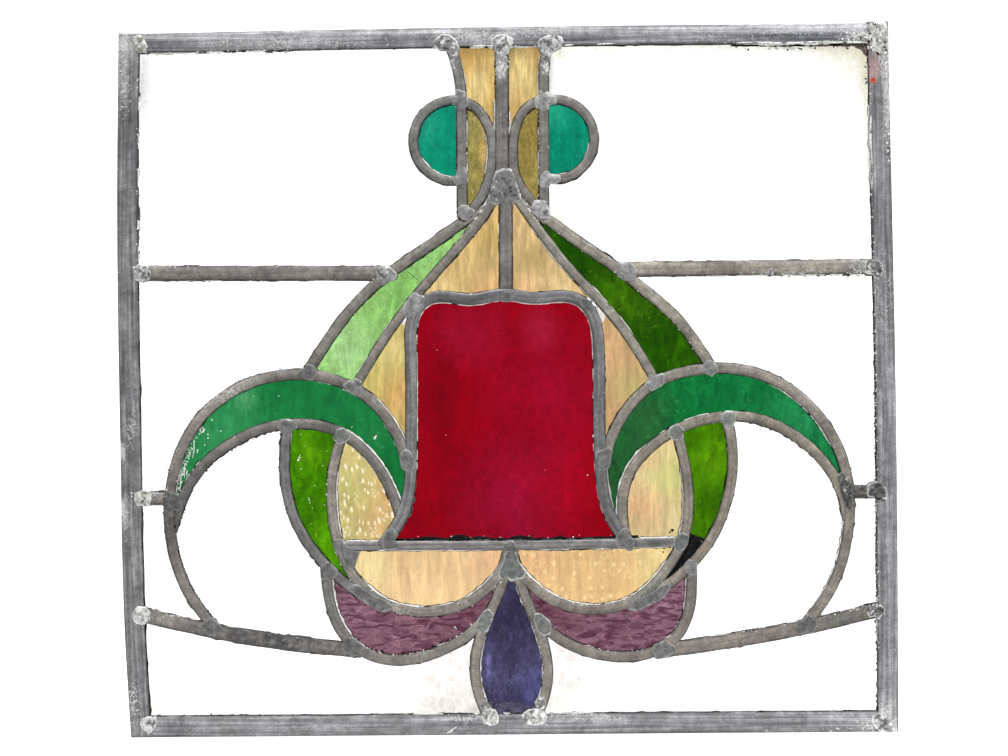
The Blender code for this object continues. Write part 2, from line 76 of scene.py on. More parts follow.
# the part's cutline, in squares of 0.5 mm
LINES = {
    "border_left": (W_BORDER, [(142.5, 742), (136, 640), (131.5, 465), (128, 220), (129.5, 34)]),
    "border_right": (W_BORDER, [(887.5, 738), (885, 400), (881, 200), (877, 22)]),
    "border_top": (W_BORDER - 1.0, [(124, 44.5), (335, 40), (605, 36), (882, 33.5)]),
    "border_bottom": (W_BORDER, [(137, 726.3), (892, 720.6)]),
    "centre_upper": (W_CENTRE, [(501.7, 36), (502, 185)]),
    "centre_lower": (W_CENTRE, [(505.5, 190), (506, 296)]),
    "stem_left": (W_STEM, [(445, 35), (455, 60), (461, 92), (461.5, 115), (462.5, 218)]),
    "stem_right": (W_STEM, [(551, 35), (544.5, 62), (543.5, 92), (543.6, 120), (544, 216)]),
    "ring_left": (W_RING, ring(454, 141.2, 40.5, 78, 260) + [
        (461, 101.3), (474, 107), (484, 118.5), (490.6, 135), (492.3, 155),
        (490, 174), (481.5, 197), (466, 217)]),
    "ring_right": (W_RING, ring(554, 139.7, 40, 104.5, -80) + [
        (546, 100.8), (531, 105), (519.5, 118), (513.8, 137), (512.9, 155),
        (515, 174), (525, 193), (542, 213)]),
    "blade_inner_left": (W_BLADE_INNER, [(501, 184), (490, 205.5), (472, 231), (440, 268),
                                         (406, 309), (385, 338), (354, 389.5)]),
    "blade_inner_right": (W_BLADE_INNER, [(511, 184), (519, 201), (531, 219), (566, 265),
                                          (593, 294), (622, 328), (656, 382)]),
    "blade_outer_left": (W_BLADE, [(484, 209), (461, 223.5), (440, 238.5), (413, 257),
                                   (372, 288), (342, 321), (306, 375)]),
    "blade_outer_right": (W_BLADE, [(523, 205.5), (548, 220.5), (584, 246), (615, 267),
                                    (644, 290), (672, 314), (713, 371)]),
    "cross_left": (W_CROSS, [(126, 273.5), (391, 273.5)]),
    "cross_right": (W_CROSS, [(619, 269.7), (887, 266.4)]),
    "surround": (W_SURROUND, [(383, 545), (401, 518), (410, 483), (411.3, 440), (411, 350),
                              (413.4, 318), (422, 303.5), (437, 297), (470, 299.5),
                              (505, 294.6), (535, 298.3), (563, 296.2), (581, 301.5),
                              (593, 317), (598.3, 345), (599, 420), (601, 470),
                              (612, 519), (630, 545)]),
    "base_bar": (W_BAR, [(339, 545.8), (400, 545.4), (560, 544.5), (683, 541.6)]),
    "outer_arch_left": (W_ARCH, [(407.5, 470), (404, 452), (394, 429), (367, 397), (331, 379),
                                 (285, 375), (240, 387.5), (207, 411.5), (182, 449),
                                 (171.5, 488), (170, 520), (177, 563), (192, 597), (216, 628)]),
    "outer_arch_right": (W_ARCH, [(603.5, 466), (608, 447), (621, 418), (655, 383), (695, 370),
                                  (740, 369.6), (780, 383.5), (814, 411), (838, 449),
                                  (848.3, 488), (847.6, 530), (839, 568), (822, 602),
                                  (801, 628)]),
    "stub_left": (W_STUB, [(128, 498), (172, 498)]),
    "stub_right": (W_STUB, [(848, 491.5), (889, 491.5)]),
    "inner_arch_left": (W_INNER_ARCH, [(400, 514), (387, 481.5), (374, 461), (351, 439),
                                       (322, 426), (293, 423.8), (262, 429), (233.5, 442),
                                       (204, 465), (186, 492), (172.5, 531)]),
    "inner_arch_right": (W_INNER_ARCH, [(624.5, 535), (622.5, 498), (633, 467), (653, 445),
                                        (684, 426), (720, 417), (754, 418), (790, 433),
                                        (821, 459), (838, 485), (847.5, 520)]),
    "cup_left": (W_CUP, [(343, 433), (334, 465), (332, 505), (339, 545), (357, 580),
                         (389, 605), (426, 611.5), (460, 605.5), (486, 589), (501, 571),
                         (507.5, 551.2)]),
    "cup_right": (W_CUP, [(676, 430), (685, 466), (688.2, 500), (683, 538), (666, 569),
                          (638, 597), (600, 609), (560, 603), (533, 586), (518, 569),
                          (512.5, 551.2)]),
    "leaf_left": (W_LEAF, [(287.5, 424), (284.8, 460), (289, 500), (305, 538), (330, 569),
                           (360, 593), (388, 606)]),
    "leaf_right": (W_LEAF, [(726.5, 416.5), (732, 450), (730, 486), (715, 531), (690, 565),
                            (657, 590), (630, 601)]),
    "petal_left": (W_PETAL, [(326, 564), (329, 594), (338, 624), (356, 646), (379, 657.5),
                             (404, 659.5), (438, 651.5), (468, 634.5), (486.5, 617)]),
    "petal_right": (W_PETAL, [(691, 563), (690.5, 598), (681, 629), (658, 649), (625, 656.5),
                              (591, 652), (563, 640.5), (537, 621)]),
    "slope_left": (W_SLOPE, [(131, 611.5), (209, 629.5), (280, 641.8), (362, 650)]),
    "slope_right": (W_SLOPE, [(656, 651), (736, 639.5), (810, 625.5), (891, 606)]),
    "drop_left": (W_DROP, [(509, 560), (499, 592), (484, 626), (475.3, 663), (480, 697),
                           (495, 728)]),
    "drop_right": (W_DROP, [(511.5, 560), (523, 591), (539.5, 631), (547.8, 670), (544, 697),
                            (531, 728)]),
}
PLATE = [(496, 171), (511, 171), (519.5, 204), (492.5, 204)]

CAMES = {
    "border_came_left": ["border_left"], "border_came_right": ["border_right"],
    "border_came_top": ["border_top"], "border_came_bottom": ["border_bottom"],
    "came_centre": ["centre_upper", "centre_lower"],
    "came_stem_ring_left": ["stem_left", "ring_left"],
    "came_stem_ring_right": ["stem_right", "ring_right"],
    "came_inner_blade_left": ["blade_inner_left"], "came_inner_blade_right": ["blade_inner_right"],
    "came_crossbar_blade_left": ["cross_left", "blade_outer_left"],
    "came_crossbar_blade_right": ["cross_right", "blade_outer_right"],
    "came_flower_surround": ["surround"], "came_base_bar": ["base_bar"],
    "came_outer_arch_left": ["outer_arch_left", "stub_left"],
    "came_outer_arch_right": ["outer_arch_right", "stub_right"],
    "came_inner_arch_left": ["inner_arch_left"], "came_inner_arch_right": ["inner_arch_right"],
    "came_cup_left": ["cup_left"], "came_cup_right": ["cup_right"],
    "came_leaf_left": ["leaf_left"], "came_leaf_right": ["leaf_right"],
    "came_petal_left": ["petal_left", "slope_left"],
    "came_petal_right": ["petal_right", "slope_right"],
    "came_drop": ["drop_left", "drop_right"],
}
# line: the lines whose leaves lie over its ends
UNDER_OF = {
    "border_top": ["border_left", "border_right"], "border_bottom": ["border_left", "border_right"],
    "centre_upper": ["border_top"], "centre_lower": ["surround"],
    "stem_left": ["border_top", "blade_inner_left"], "stem_right": ["border_top", "blade_inner_right"],
    "ring_left": ["stem_left", "centre_upper", "blade_inner_left"],
    "ring_right": ["stem_right", "centre_upper", "blade_inner_right"],
    "blade_inner_left": ["outer_arch_left"], "blade_inner_right": ["outer_arch_right"],
    "blade_outer_left": ["stem_left", "ring_left", "blade_inner_left", "outer_arch_left"],
    "blade_outer_right": ["stem_right", "ring_right", "blade_inner_right", "outer_arch_right"],
    "cross_left": ["border_left", "blade_outer_left"],
    "cross_right": ["border_right", "blade_outer_right"],
    "surround": ["blade_inner_left", "blade_inner_right"],
    "base_bar": ["cup_left", "cup_right", "surround"],
    "outer_arch_left": ["surround", "slope_left"], "outer_arch_right": ["surround", "slope_right"],
    "stub_left": ["border_left", "outer_arch_left"], "stub_right": ["border_right", "outer_arch_right"],
    "inner_arch_left": ["surround", "outer_arch_left"],
    "inner_arch_right": ["surround", "outer_arch_right", "base_bar"],
    "cup_left": ["inner_arch_left"], "cup_right": ["inner_arch_right", "cup_left"],
    "leaf_left": ["inner_arch_left", "cup_left"], "leaf_right": ["inner_arch_right", "cup_right"],
    "petal_left": ["leaf_left", "drop_left"], "petal_right": ["leaf_right", "drop_right"],
    "slope_left": ["border_left", "petal_left"], "slope_right": ["border_right", "petal_right"],
    "drop_left": ["cup_left", "cup_right", "border_bottom"],
    "drop_right": ["cup_left", "cup_right", "border_bottom", "drop_left"],
}

# solder: name, where on the cutline, how far it spreads, how proud in mm, kind
JOINTS = [
    ("corner_top_left", 140.5, 45, 9, 0.70, "cream"),
    ("corner_bottom_left", 149, 724, 7.5, 0.70, "crusty"),
    ("corner_bottom_right", 884, 723, 13, 0.60, "crusty"),
    ("corner_top_right", 877, 38, 18, 0.55, "cream"),
    ("stem_top_left", 447, 43, 10, 0.60, "crusty"),
    ("centre_top", 501, 43, 9, 0.60, "crusty"),
    ("stem_top_right", 550, 43, 9, 0.60, "crusty"),
    ("stub_border_left", 144, 498, 10, 0.60, "cream"),
    ("stub_border_right", 877, 491, 11, 0.60, "char"),
    ("slope_border_left", 142, 615, 9, 0.60, "crusty"),
    ("slope_border_right", 875, 610, 9, 0.60, "crusty"),
    ("cross_border_left", 143, 273, 10, 0.65, "crusty"),
    ("cross_border_right", 874, 267, 11, 0.65, "crusty"),
    ("ring_top_left", 459, 100, 10, 0.35, "smooth"),
    ("ring_foot_left", 461, 177, 9, 0.35, "smooth"),
    ("ring_top_right", 544, 101, 11, 0.40, "smooth"),
    ("ring_foot_right", 549, 178, 10, 0.40, "smooth"),
    ("stem_foot_left", 465, 212, 10, 0.40, "smooth"),
    ("stem_foot_right", 541, 210, 10, 0.40, "rough"),
    ("cross_blade_left", 386, 276, 11, 0.40, "rough"),
    ("cross_blade_right", 627, 271, 11, 0.40, "smooth"),
    ("blade_arch_left", 308, 372, 9, 0.30, "smooth"),
    ("inner_blade_arch_left", 354, 386, 10, 0.35, "smooth"),
    ("shoulder_left", 414, 305, 11, 0.35, "smooth"),
    ("shoulder_right", 591, 302, 11, 0.35, "smooth"),
    ("centre_surround", 505, 296, 7, 0.20, "smooth"),
    ("cup_arch_left", 342, 435, 10, 0.35, "ringed"),
    ("leaf_arch_left", 287, 426, 9, 0.30, "smooth"),
    ("leaf_arch_right", 727, 419, 9, 0.30, "ringed"),
    ("cup_arch_right", 676, 432, 9, 0.35, "ringed"),
    ("blade_arch_right", 710, 369, 9, 0.30, "smooth"),
    ("inner_blade_arch_right", 654, 382, 10, 0.35, "smooth"),
    ("arch_surround_left", 407, 462, 11, 0.30, "smooth"),
    ("arch_surround_right", 604, 459, 11, 0.30, "smooth"),
    ("stub_arch_left", 173, 502, 11, 0.30, "smooth"),
    ("stub_arch_right", 846, 491, 10, 0.45, "dull"),
    ("neck_top", 511, 549.5, 9, 0.30, "smooth"),
    ("neck", 511, 562, 16, 0.45, "ringed"),
    ("petal_drop_left", 485, 620, 14, 0.40, "ringed"),
    ("petal_drop_right", 542, 624, 14, 0.40, "ringed"),
    ("leaf_petal_left", 328, 570, 9, 0.30, "smooth"),
    ("leaf_petal_right", 691, 567, 9, 0.30, "smooth"),
    ("petal_slope_left", 353, 647, 11, 0.35, "smooth"),
    ("petal_slope_right", 664, 649, 11, 0.35, "smooth"),
    ("arch_slope_left", 212, 627, 10, 0.30, "smooth"),
    ("arch_slope_right", 805, 625, 10, 0.30, "smooth"),
    ("base_surround_left", 392, 538, 11, 0.30, "smooth"),
    ("base_surround_right", 626, 540, 11, 0.30, "smooth"),
    ("base_cup_left", 340, 547, 8, 0.30, "smooth"),
    ("base_cup_right", 681, 542, 9, 0.35, "ringed"),
    ("leaf_cup_left", 373, 599, 22, 0.30, "smooth"),
    ("leaf_cup_right", 650, 597, 22, 0.30, "smooth"),
]


# ------------------------------------------------------------------- small maths
def place(col, row):
    x, z = (np.asarray(col, float) - MID_COL) * GRID, (BASE_ROW - np.asarray(row, float)) * GRID
    c, s = math.cos(TILT), math.sin(TILT)
    return np.stack([x * c + z * s, z * c - x * s], -1)


def spline(points, n=2400):
    p = np.array(points, float)
    if len(p) == 2:
        t = np.linspace(0, 1, n)[:, None]
        return p[0] * (1 - t) + p[1] * t
    t = np.concatenate([[0], np.cumsum(np.linalg.norm(np.diff(p, axis=0), axis=1))])
    m, h = len(p), np.diff(t)
    a, r = np.eye(m), np.zeros((m, 2))
    for i in range(1, m - 1):
        a[i, i - 1:i + 2] = h[i - 1], 2 * (h[i - 1] + h[i]), h[i]
        r[i] = 6 * ((p[i + 1] - p[i]) / h[i] - (p[i] - p[i - 1]) / h[i - 1])
    k = np.linalg.solve(a, r)
    u = np.linspace(0, t[-1], n)
    j = np.clip(np.searchsorted(t, u, side="right") - 1, 0, m - 2)
    hh = h[j][:, None]
    f = ((t[j + 1] - u) / h[j])[:, None]
    g = 1 - f
    return f * p[j] + g * p[j + 1] + ((f ** 3 - f) * k[j] + (g ** 3 - g) * k[j + 1]) * hh ** 2 / 6


def resample(path, step):
    d = np.concatenate([[0], np.cumsum(np.linalg.norm(np.diff(path, axis=0), axis=1))])
    n = max(3, int(round(d[-1] / step)) + 1)
    s = np.linspace(0, d[-1], n)
    return np.stack([np.interp(s, d, path[:, 0]), np.interp(s, d, path[:, 1])], 1), s


def smooth(t):
    t = np.clip(t, 0, 1)
    return t * t * (3 - 2 * t)


def hashed(i, j, seed):
    h = (i.astype(np.int64) * 374761393 + j.astype(np.int64) * 668265263 + seed * 974634777) & 0xffffffff
    h = ((h ^ (h >> 13)) * 1274126177) & 0xffffffff
    return ((h ^ (h >> 16)) & 0xffffff) / float(0xffffff)


def noise(x, z, size, seed=0, stretch=(1, 1)):
    """Smooth value noise from -1 to 1, features about size metres across."""
    u, v = np.asarray(x) / (size * stretch[0]), np.asarray(z) / (size * stretch[1])
    i, j = np.floor(u), np.floor(v)
    a, b = smooth(u - i), smooth(v - j)
    c = [hashed(i + p, j + q, seed) for p, q in ((0, 0), (1, 0), (0, 1), (1, 1))]
    return 2 * ((c[0] * (1 - a) + c[1] * a) * (1 - b) + (c[2] * (1 - a) + c[3] * a) * b) - 1


def rough(x, z, size, seed=0, n=3, stretch=(1, 1)):
    out, amp, tot = 0, 1.0, 0
    for k in range(n):
        out = out + amp * noise(x, z, size / 2 ** k, seed + 17 * k, stretch)
        tot += amp
        amp *= 0.55
    return out / tot


def cells(x, z, size, seed=0, stretch=(1, 1)):
    """Distance to the nearest of scattered points, in units of size, and that point's own number."""
    u, v = np.asarray(x) / (size * stretch[0]), np.asarray(z) / (size * stretch[1])
    i, j = np.floor(u), np.floor(v)
    best, who = np.full(u.shape, 9.0), np.zeros(u.shape)
    for p in (-1, 0, 1):
        for q in (-1, 0, 1):
            px = i + p + 0.15 + 0.7 * hashed(i + p, j + q, seed)
            pz = j + q + 0.15 + 0.7 * hashed(i + p, j + q, seed + 5)
            d = np.hypot(u - px, v - pz)
            near = d < best
            who = np.where(near, hashed(i + p, j + q, seed + 9), who)
            best = np.where(near, d, best)
    return best, who


def lin(r, g, b):
    c = np.array([r, g, b]) / 255.0
    return tuple(float(v) for v in np.where(c <= 0.04045, c / 12.92, ((c + 0.055) / 1.055) ** 2.4))


# ---------------------------------------------------------------- mesh and nodes
def mesh_object(name, verts, faces, mat, uv=None, attrs=None, flat=False):
    me = bpy.data.meshes.new(name)
    me.from_pydata([tuple(v) for v in np.asarray(verts, float)], [], faces)
    if uv is not None:
        layer = me.uv_layers.new(name="along")
        loops = np.zeros(len(me.loops), np.int32)
        me.loops.foreach_get("vertex_index", loops)
        layer.data.foreach_set("uv", np.asarray(uv, np.float32)[loops].ravel())
    for key, values in (attrs or {}).items():
        at = me.attributes.new(key, "FLOAT", "POINT")
        at.data.foreach_set("value", np.asarray(values, np.float32))
    bm = bmesh.new()
    bm.from_mesh(me)
    bmesh.ops.recalc_face_normals(bm, faces=bm.faces)
    bm.to_mesh(me)
    bm.free()
    if not flat:
        me.shade_smooth()
    me.materials.append(mat)
    ob = bpy.data.objects.new(name, me)
    bpy.context.scene.collection.objects.link(ob)
    return ob


class Net:
    """Short hand for a material's nodes."""

    def __init__(self, name):
        self.mat = bpy.data.materials.new(name)
        self.mat.use_nodes = True
        self.t = self.mat.node_tree
        self.sh = self.t.nodes["Principled BSDF"]
        self.coord = self.t.nodes.new("ShaderNodeTexCoord").outputs["Object"]

    def put(self, kind, **values):
        n = self.t.nodes.new(kind)
        for k, v in values.items():
            if isinstance(v, bpy.types.NodeSocket):
                self.t.links.new(v, n.inputs[k.replace("_", " ")])
            elif k.replace("_", " ") in n.inputs:
                n.inputs[k.replace("_", " ")].default_value = v
            else:
                setattr(n, k, v)
        return n

    def mapped(self, scale, source=None, turn=0.0):
        n = self.t.nodes.new("ShaderNodeMapping")
        self.t.links.new(source or self.coord, n.inputs["Vector"])
        n.inputs["Scale"].default_value = scale
        n.inputs["Rotation"].default_value = (0, turn, 0)
        return n.outputs["Vector"]

    def grain(self, scale, detail=4.0, source=None, turn=0.0, distortion=0.0, rough_=0.55):
        n = self.t.nodes.new("ShaderNodeTexNoise")
        self.t.links.new(self.mapped(scale, source, turn), n.inputs["Vector"])
        n.inputs["Scale"].default_value = 1.0
        n.inputs["Detail"].default_value = detail
        n.inputs["Roughness"].default_value = rough_
        n.inputs["Distortion"].default_value = distortion
        return n.outputs["Fac"]

    def scattered(self, scale, feature="F1", turn=0.0):
        n = self.t.nodes.new("ShaderNodeTexVoronoi")
        n.feature = feature
        self.t.links.new(self.mapped(scale, None, turn), n.inputs["Vector"])
        n.inputs["Scale"].default_value = 1.0
        return n

    def maths(self, operation, a, b=None):
        n = self.t.nodes.new("ShaderNodeMath")
        n.operation = operation
        for sock, v in zip(n.inputs, (a, b)):
            if isinstance(v, bpy.types.NodeSocket):
                self.t.links.new(v, sock)
            elif v is not None:
                sock.default_value = v
        return n.outputs[0]

    def contour(self, scale, width, bend=1.2):
        """Thin winding lines, 1 on the line."""
        f = self.grain(scale, 3, None, 0.0, bend)
        return self.span(self.maths("ABSOLUTE", self.maths("SUBTRACT", f, 0.5)), 0.0, width, 1.0, 0.0)

    def ramp(self, fac, stops):
        n = self.t.nodes.new("ShaderNodeValToRGB")
        self.t.links.new(fac, n.inputs["Fac"])
        el = n.color_ramp.elements
        while len(el) < len(stops):
            el.new(0.5)
        for e, (p, c) in zip(el, stops):
            e.position, e.color = p, (*c[:3], 1)
        return n.outputs["Color"]

    def mix(self, a, b, fac, mode="MIX"):
        n = self.t.nodes.new("ShaderNodeMix")
        n.data_type, n.blend_type = "RGBA", mode
        for sock, v in ((n.inputs[0], fac), (n.inputs[6], a), (n.inputs[7], b)):
            if isinstance(v, bpy.types.NodeSocket):
                self.t.links.new(v, sock)
            else:
                sock.default_value = v if isinstance(v, float) else (*v[:3], 1)
        return n.outputs[2]

    def span(self, value, a, b, c=0.0, d=1.0):
        n = self.t.nodes.new("ShaderNodeMapRange")
        self.t.links.new(value, n.inputs["Value"])
        for k, v in (("From Min", a), ("From Max", b), ("To Min", c), ("To Max", d)):
            n.inputs[k].default_value = v
        return n.outputs["Result"]

    def attr(self, name):
        n = self.t.nodes.new("ShaderNodeAttribute")
        n.attribute_name = name
        return n.outputs["Fac"]

    def uv(self):
        n = self.t.nodes.new("ShaderNodeUVMap")
        n.uv_map = "along"
        return n.outputs["UV"]

    def axis(self, which):
        n = self.t.nodes.new("ShaderNodeSeparateXYZ")
        self.t.links.new(self.coord, n.inputs[0])
        return n.outputs[which]

    def near(self, col, row, reach, soft=0.35, stretch=(1, 1)):
        """1 near a square of the cutline, falling to 0 at reach squares."""
        x, z = place(col, row) / np.array(stretch)
        flatten = self.t.nodes.new("ShaderNodeVectorMath")
        flatten.operation = "MULTIPLY"
        self.t.links.new(self.coord, flatten.inputs[0])
        flatten.inputs[1].default_value = (1 / stretch[0], 0, 1 / stretch[1])
        n = self.t.nodes.new("ShaderNodeVectorMath")
        n.operation = "DISTANCE"
        self.t.links.new(flatten.outputs[0], n.inputs[0])
        n.inputs[1].default_value = (float(x), 0, float(z))
        return self.span(n.outputs["Value"], reach * GRID * (1 - soft), reach * GRID, 1.0, 0.0)

    def bump(self, height, strength, distance):
        n = self.t.nodes.new("ShaderNodeBump")
        n.inputs["Strength"].default_value = strength
        n.inputs["Distance"].default_value = distance
        self.t.links.new(height, n.inputs["Height"])
        self.t.links.new(n.outputs["Normal"], self.sh.inputs["Normal"])

    def colour(self, sock):
        self.t.links.new(sock, self.sh.inputs["Base Color"])

    def set(self, **values):
        for k, v in values.items():
            self.sh.inputs[k.replace("_", " ")].default_value = v


# -------------------------------------------------------------------- materials
LIT = 1.12                  # how bright a pale matt face comes out under the studio lights


def lead_material(name, rgb, lengthwise=0.0, washes=(), lit=(0.80, 1.24), extra=None, bands=(), scuffs=()):
    """Dull aged lead of about the given shade: drawn lengthwise at the mill, creased across where it was bent,
    with painted light and shade: paler on the flank that faces up and darker along its edges and in its channel, as
    under light from above."""
    n = Net(name)
    along = n.uv()
    mid = np.array(lin(*rgb)) / LIT
    patches = n.grain((75, 75, 75), 5, rough_=0.6)
    col = n.ramp(patches, [(0.30, tuple(0.66 * mid)), (0.50, tuple(mid)), (0.72, tuple(1.42 * mid))])
    for shade, column, row, reach, strength, *stretch in washes:
        w = n.maths("MULTIPLY", n.near(column, row, reach, 0.85, *stretch), strength)
        w = n.maths("MULTIPLY", w, n.span(n.grain((330, 330, 330), 4), 0.36, 0.56, 0.35, 1.0))
        col = n.mix(col, tuple(np.array(lin(*shade)) / LIT), w)
    blotch = n.grain((300, 300, 300), 4, rough_=0.6)
    col = n.mix(col, n.ramp(blotch, [(0.33, (0.80, 0.79, 0.80)), (0.50, (1.0, 1.0, 1.0)), (0.67, (1.22, 1.21, 1.19))]),
                0.75, "MULTIPLY")
    drawn = n.grain((15, 560, 1), 3, along, rough_=0.55)
    long_lo, long_hi = 0.88 - 0.34 * lengthwise, 1.12 + 0.48 * lengthwise
    col = n.mix(col, n.ramp(drawn, [(0.34, (long_lo,) * 3), (0.50, (1.0, 1.0, 1.0)), (0.66, (long_hi,) * 3)]),
                0.9, "MULTIPLY")
    if bands:                                 # light and dark bands across its width: the mill's lengthwise ridges, with painted light on the edge that faces up
        across = n.span(n.attr("up"), -1.0, 1.0, 0.0, 1.0)
        col = n.mix(col, n.ramp(across, [(at, (k, k, k)) for at, k in bands]), 0.85, "MULTIPLY")
    scratch = n.grain((34, 2300, 1), 3, along)
    col = n.mix(col, n.ramp(scratch, [(0.34, (0.66, 0.66, 0.66)), (0.50, (1.0, 1.0, 1.0)), (0.66, (1.38, 1.38, 1.38))]),
                0.25 + 0.45 * lengthwise, "MULTIPLY")
    creased = n.grain((420, 130, 1), 4, along, 0.25, 1.4, 0.62)
    col = n.mix(col, n.ramp(creased, [(0.33, (0.76, 0.76, 0.76)), (0.50, (1.0, 1.0, 1.0)), (0.67, (1.26, 1.26, 1.26))]),
                0.75 - 0.60 * lengthwise, "MULTIPLY")
    fine = n.grain((1500, 1500, 1500), 3, rough_=0.7)
    col = n.mix(col, n.ramp(fine, [(0.32, (0.60, 0.59, 0.62)), (0.50, (1.0, 1.0, 1.0)), (0.68, (1.46, 1.45, 1.42))]),
                0.8, "MULTIPLY")
    # painted light: the flank that faces up is paler and the one that faces down darker, as under light from above
    v = n.t.nodes.new("ShaderNodeVectorMath")
    v.operation = "SCALE"
    n.t.links.new(col, v.inputs[0])
    n.t.links.new(n.span(n.attr("up"), -0.85, 0.85, lit[0], lit[1]), v.inputs["Scale"])
    col = v.outputs[0]
    # painted shade: darker towards the leaf's edges, where it curls away from the light, and on the walls of the
    # channel
    edge = n.maths("MULTIPLY", n.span(n.attr("edge"), 0.66 + 0.20 * lengthwise, 0.90 + 0.06 * lengthwise, 0.0, 0.9),
                   n.span(n.grain((170, 170, 170), 4), 0.36, 0.54, 0.35, 1.0))
    col = n.mix(col, tuple(0.14 * mid), edge)
    chips = n.grain((380, 380, 380), 5, rough_=0.75)
    lift = n.maths("ADD", chips, n.span(n.attr("edge"), 0.45, 0.9, 0.0, 0.045))
    col = n.mix(col, tuple(np.minimum(4.2 * mid, 0.85)), n.span(lift, 0.655, 0.70, 0.0, 0.75))
    pits = n.grain((620, 620, 620), 4, rough_=0.7)
    col = n.mix(col, tuple(0.22 * mid), n.span(pits, 0.36, 0.31, 0.0, 0.6))
    if scuffs:                                # a dry white bloom left in broken patches
        bloom = n.grain((950, 950, 950), 5, rough_=0.72)
        for column, row, reach, thick, *stretch in scuffs:
            here = n.near(column, row, reach, 0.9, *stretch)
            full = n.maths("ADD", bloom, n.maths("MULTIPLY", here, thick))
            col = n.mix(col, (0.60, 0.60, 0.60), n.maths("MULTIPLY", n.span(full, 0.60, 0.66, 0.0, 0.9),
                                                         n.span(here, 0.0, 0.15)))
    if extra:
        col = extra(n, col)
    n.colour(col)
    n.t.links.new(n.span(patches, 0.3, 0.7, 0.66, 0.46), n.sh.inputs["Roughness"])
    n.set(Metallic=0.25)
    n.bump(n.mix(n.mix(creased, drawn, 0.3 + 0.5 * lengthwise), blotch, 0.5), 0.8, 0.00025)
    return n.mat


def red_paint(n, col):
    """A smear of old red paint and one ring-shaped drop of it."""
    smear = n.maths("MULTIPLY", n.near(873, 68, 15, 1.0, (0.6, 1.15)),
                    n.span(n.grain((260, 260, 200), 5, None, 0.2, 0.6), 0.30, 0.60, 0.2, 1.0))
    front = n.span(n.axis("Y"), -0.0016, -0.0006, 1.0, 0.0)
    col = n.mix(col, lin(210, 160, 156), n.maths("MULTIPLY", front, n.maths("MULTIPLY", smear, 0.8)))
    col = n.mix(col, lin(206, 84, 56), n.maths("MULTIPLY", front, n.near(872, 81, 3.6, 0.35)))
    return n.mix(col, lin(96, 40, 30), n.maths("MULTIPLY", front, n.near(872.3, 80.6, 1.5, 0.6)))


LEAD_SHADES = {             # node: shade of its lead, how far the lengthwise drawing shows
    "border_came_left": ((124, 124, 126), 1.0), "border_came_right": ((138, 138, 141), 1.0),
    "border_came_top": ((152, 152, 156), 1.0), "border_came_bottom": ((133, 132, 135), 1.0),
    "came_centre": ((118, 116, 113), 0.2),
    "came_stem_ring_left": ((122, 121, 118), 0.1), "came_stem_ring_right": ((123, 120, 116), 0.1),
    "came_inner_blade_left": ((129, 124, 118), 0.1), "came_inner_blade_right": ((143, 139, 130), 0.1),
    "came_crossbar_blade_left": ((128, 124, 118), 0.2), "came_crossbar_blade_right": ((147, 141, 131), 0.2),
    "came_flower_surround": ((117, 117, 119), 0.9), "came_base_bar": ((126, 125, 124), 0.9),
    "came_outer_arch_left": ((130, 124, 119), 0.1), "came_outer_arch_right": ((139, 133, 125), 0.1),
    "came_inner_arch_left": ((121, 118, 114), 0.1), "came_inner_arch_right": ((141, 135, 124), 0.1),
    "came_cup_left": ((138, 132, 124), 0.2), "came_cup_right": ((138, 132, 123), 0.2),
    "came_leaf_left": ((116, 115, 114), 0.2), "came_leaf_right": ((139, 131, 121), 0.2),
    "came_petal_left": ((130, 125, 119), 0.1), "came_petal_right": ((123, 116, 109), 0.1),
    "came_drop": ((134, 128, 120), 0.0),
}
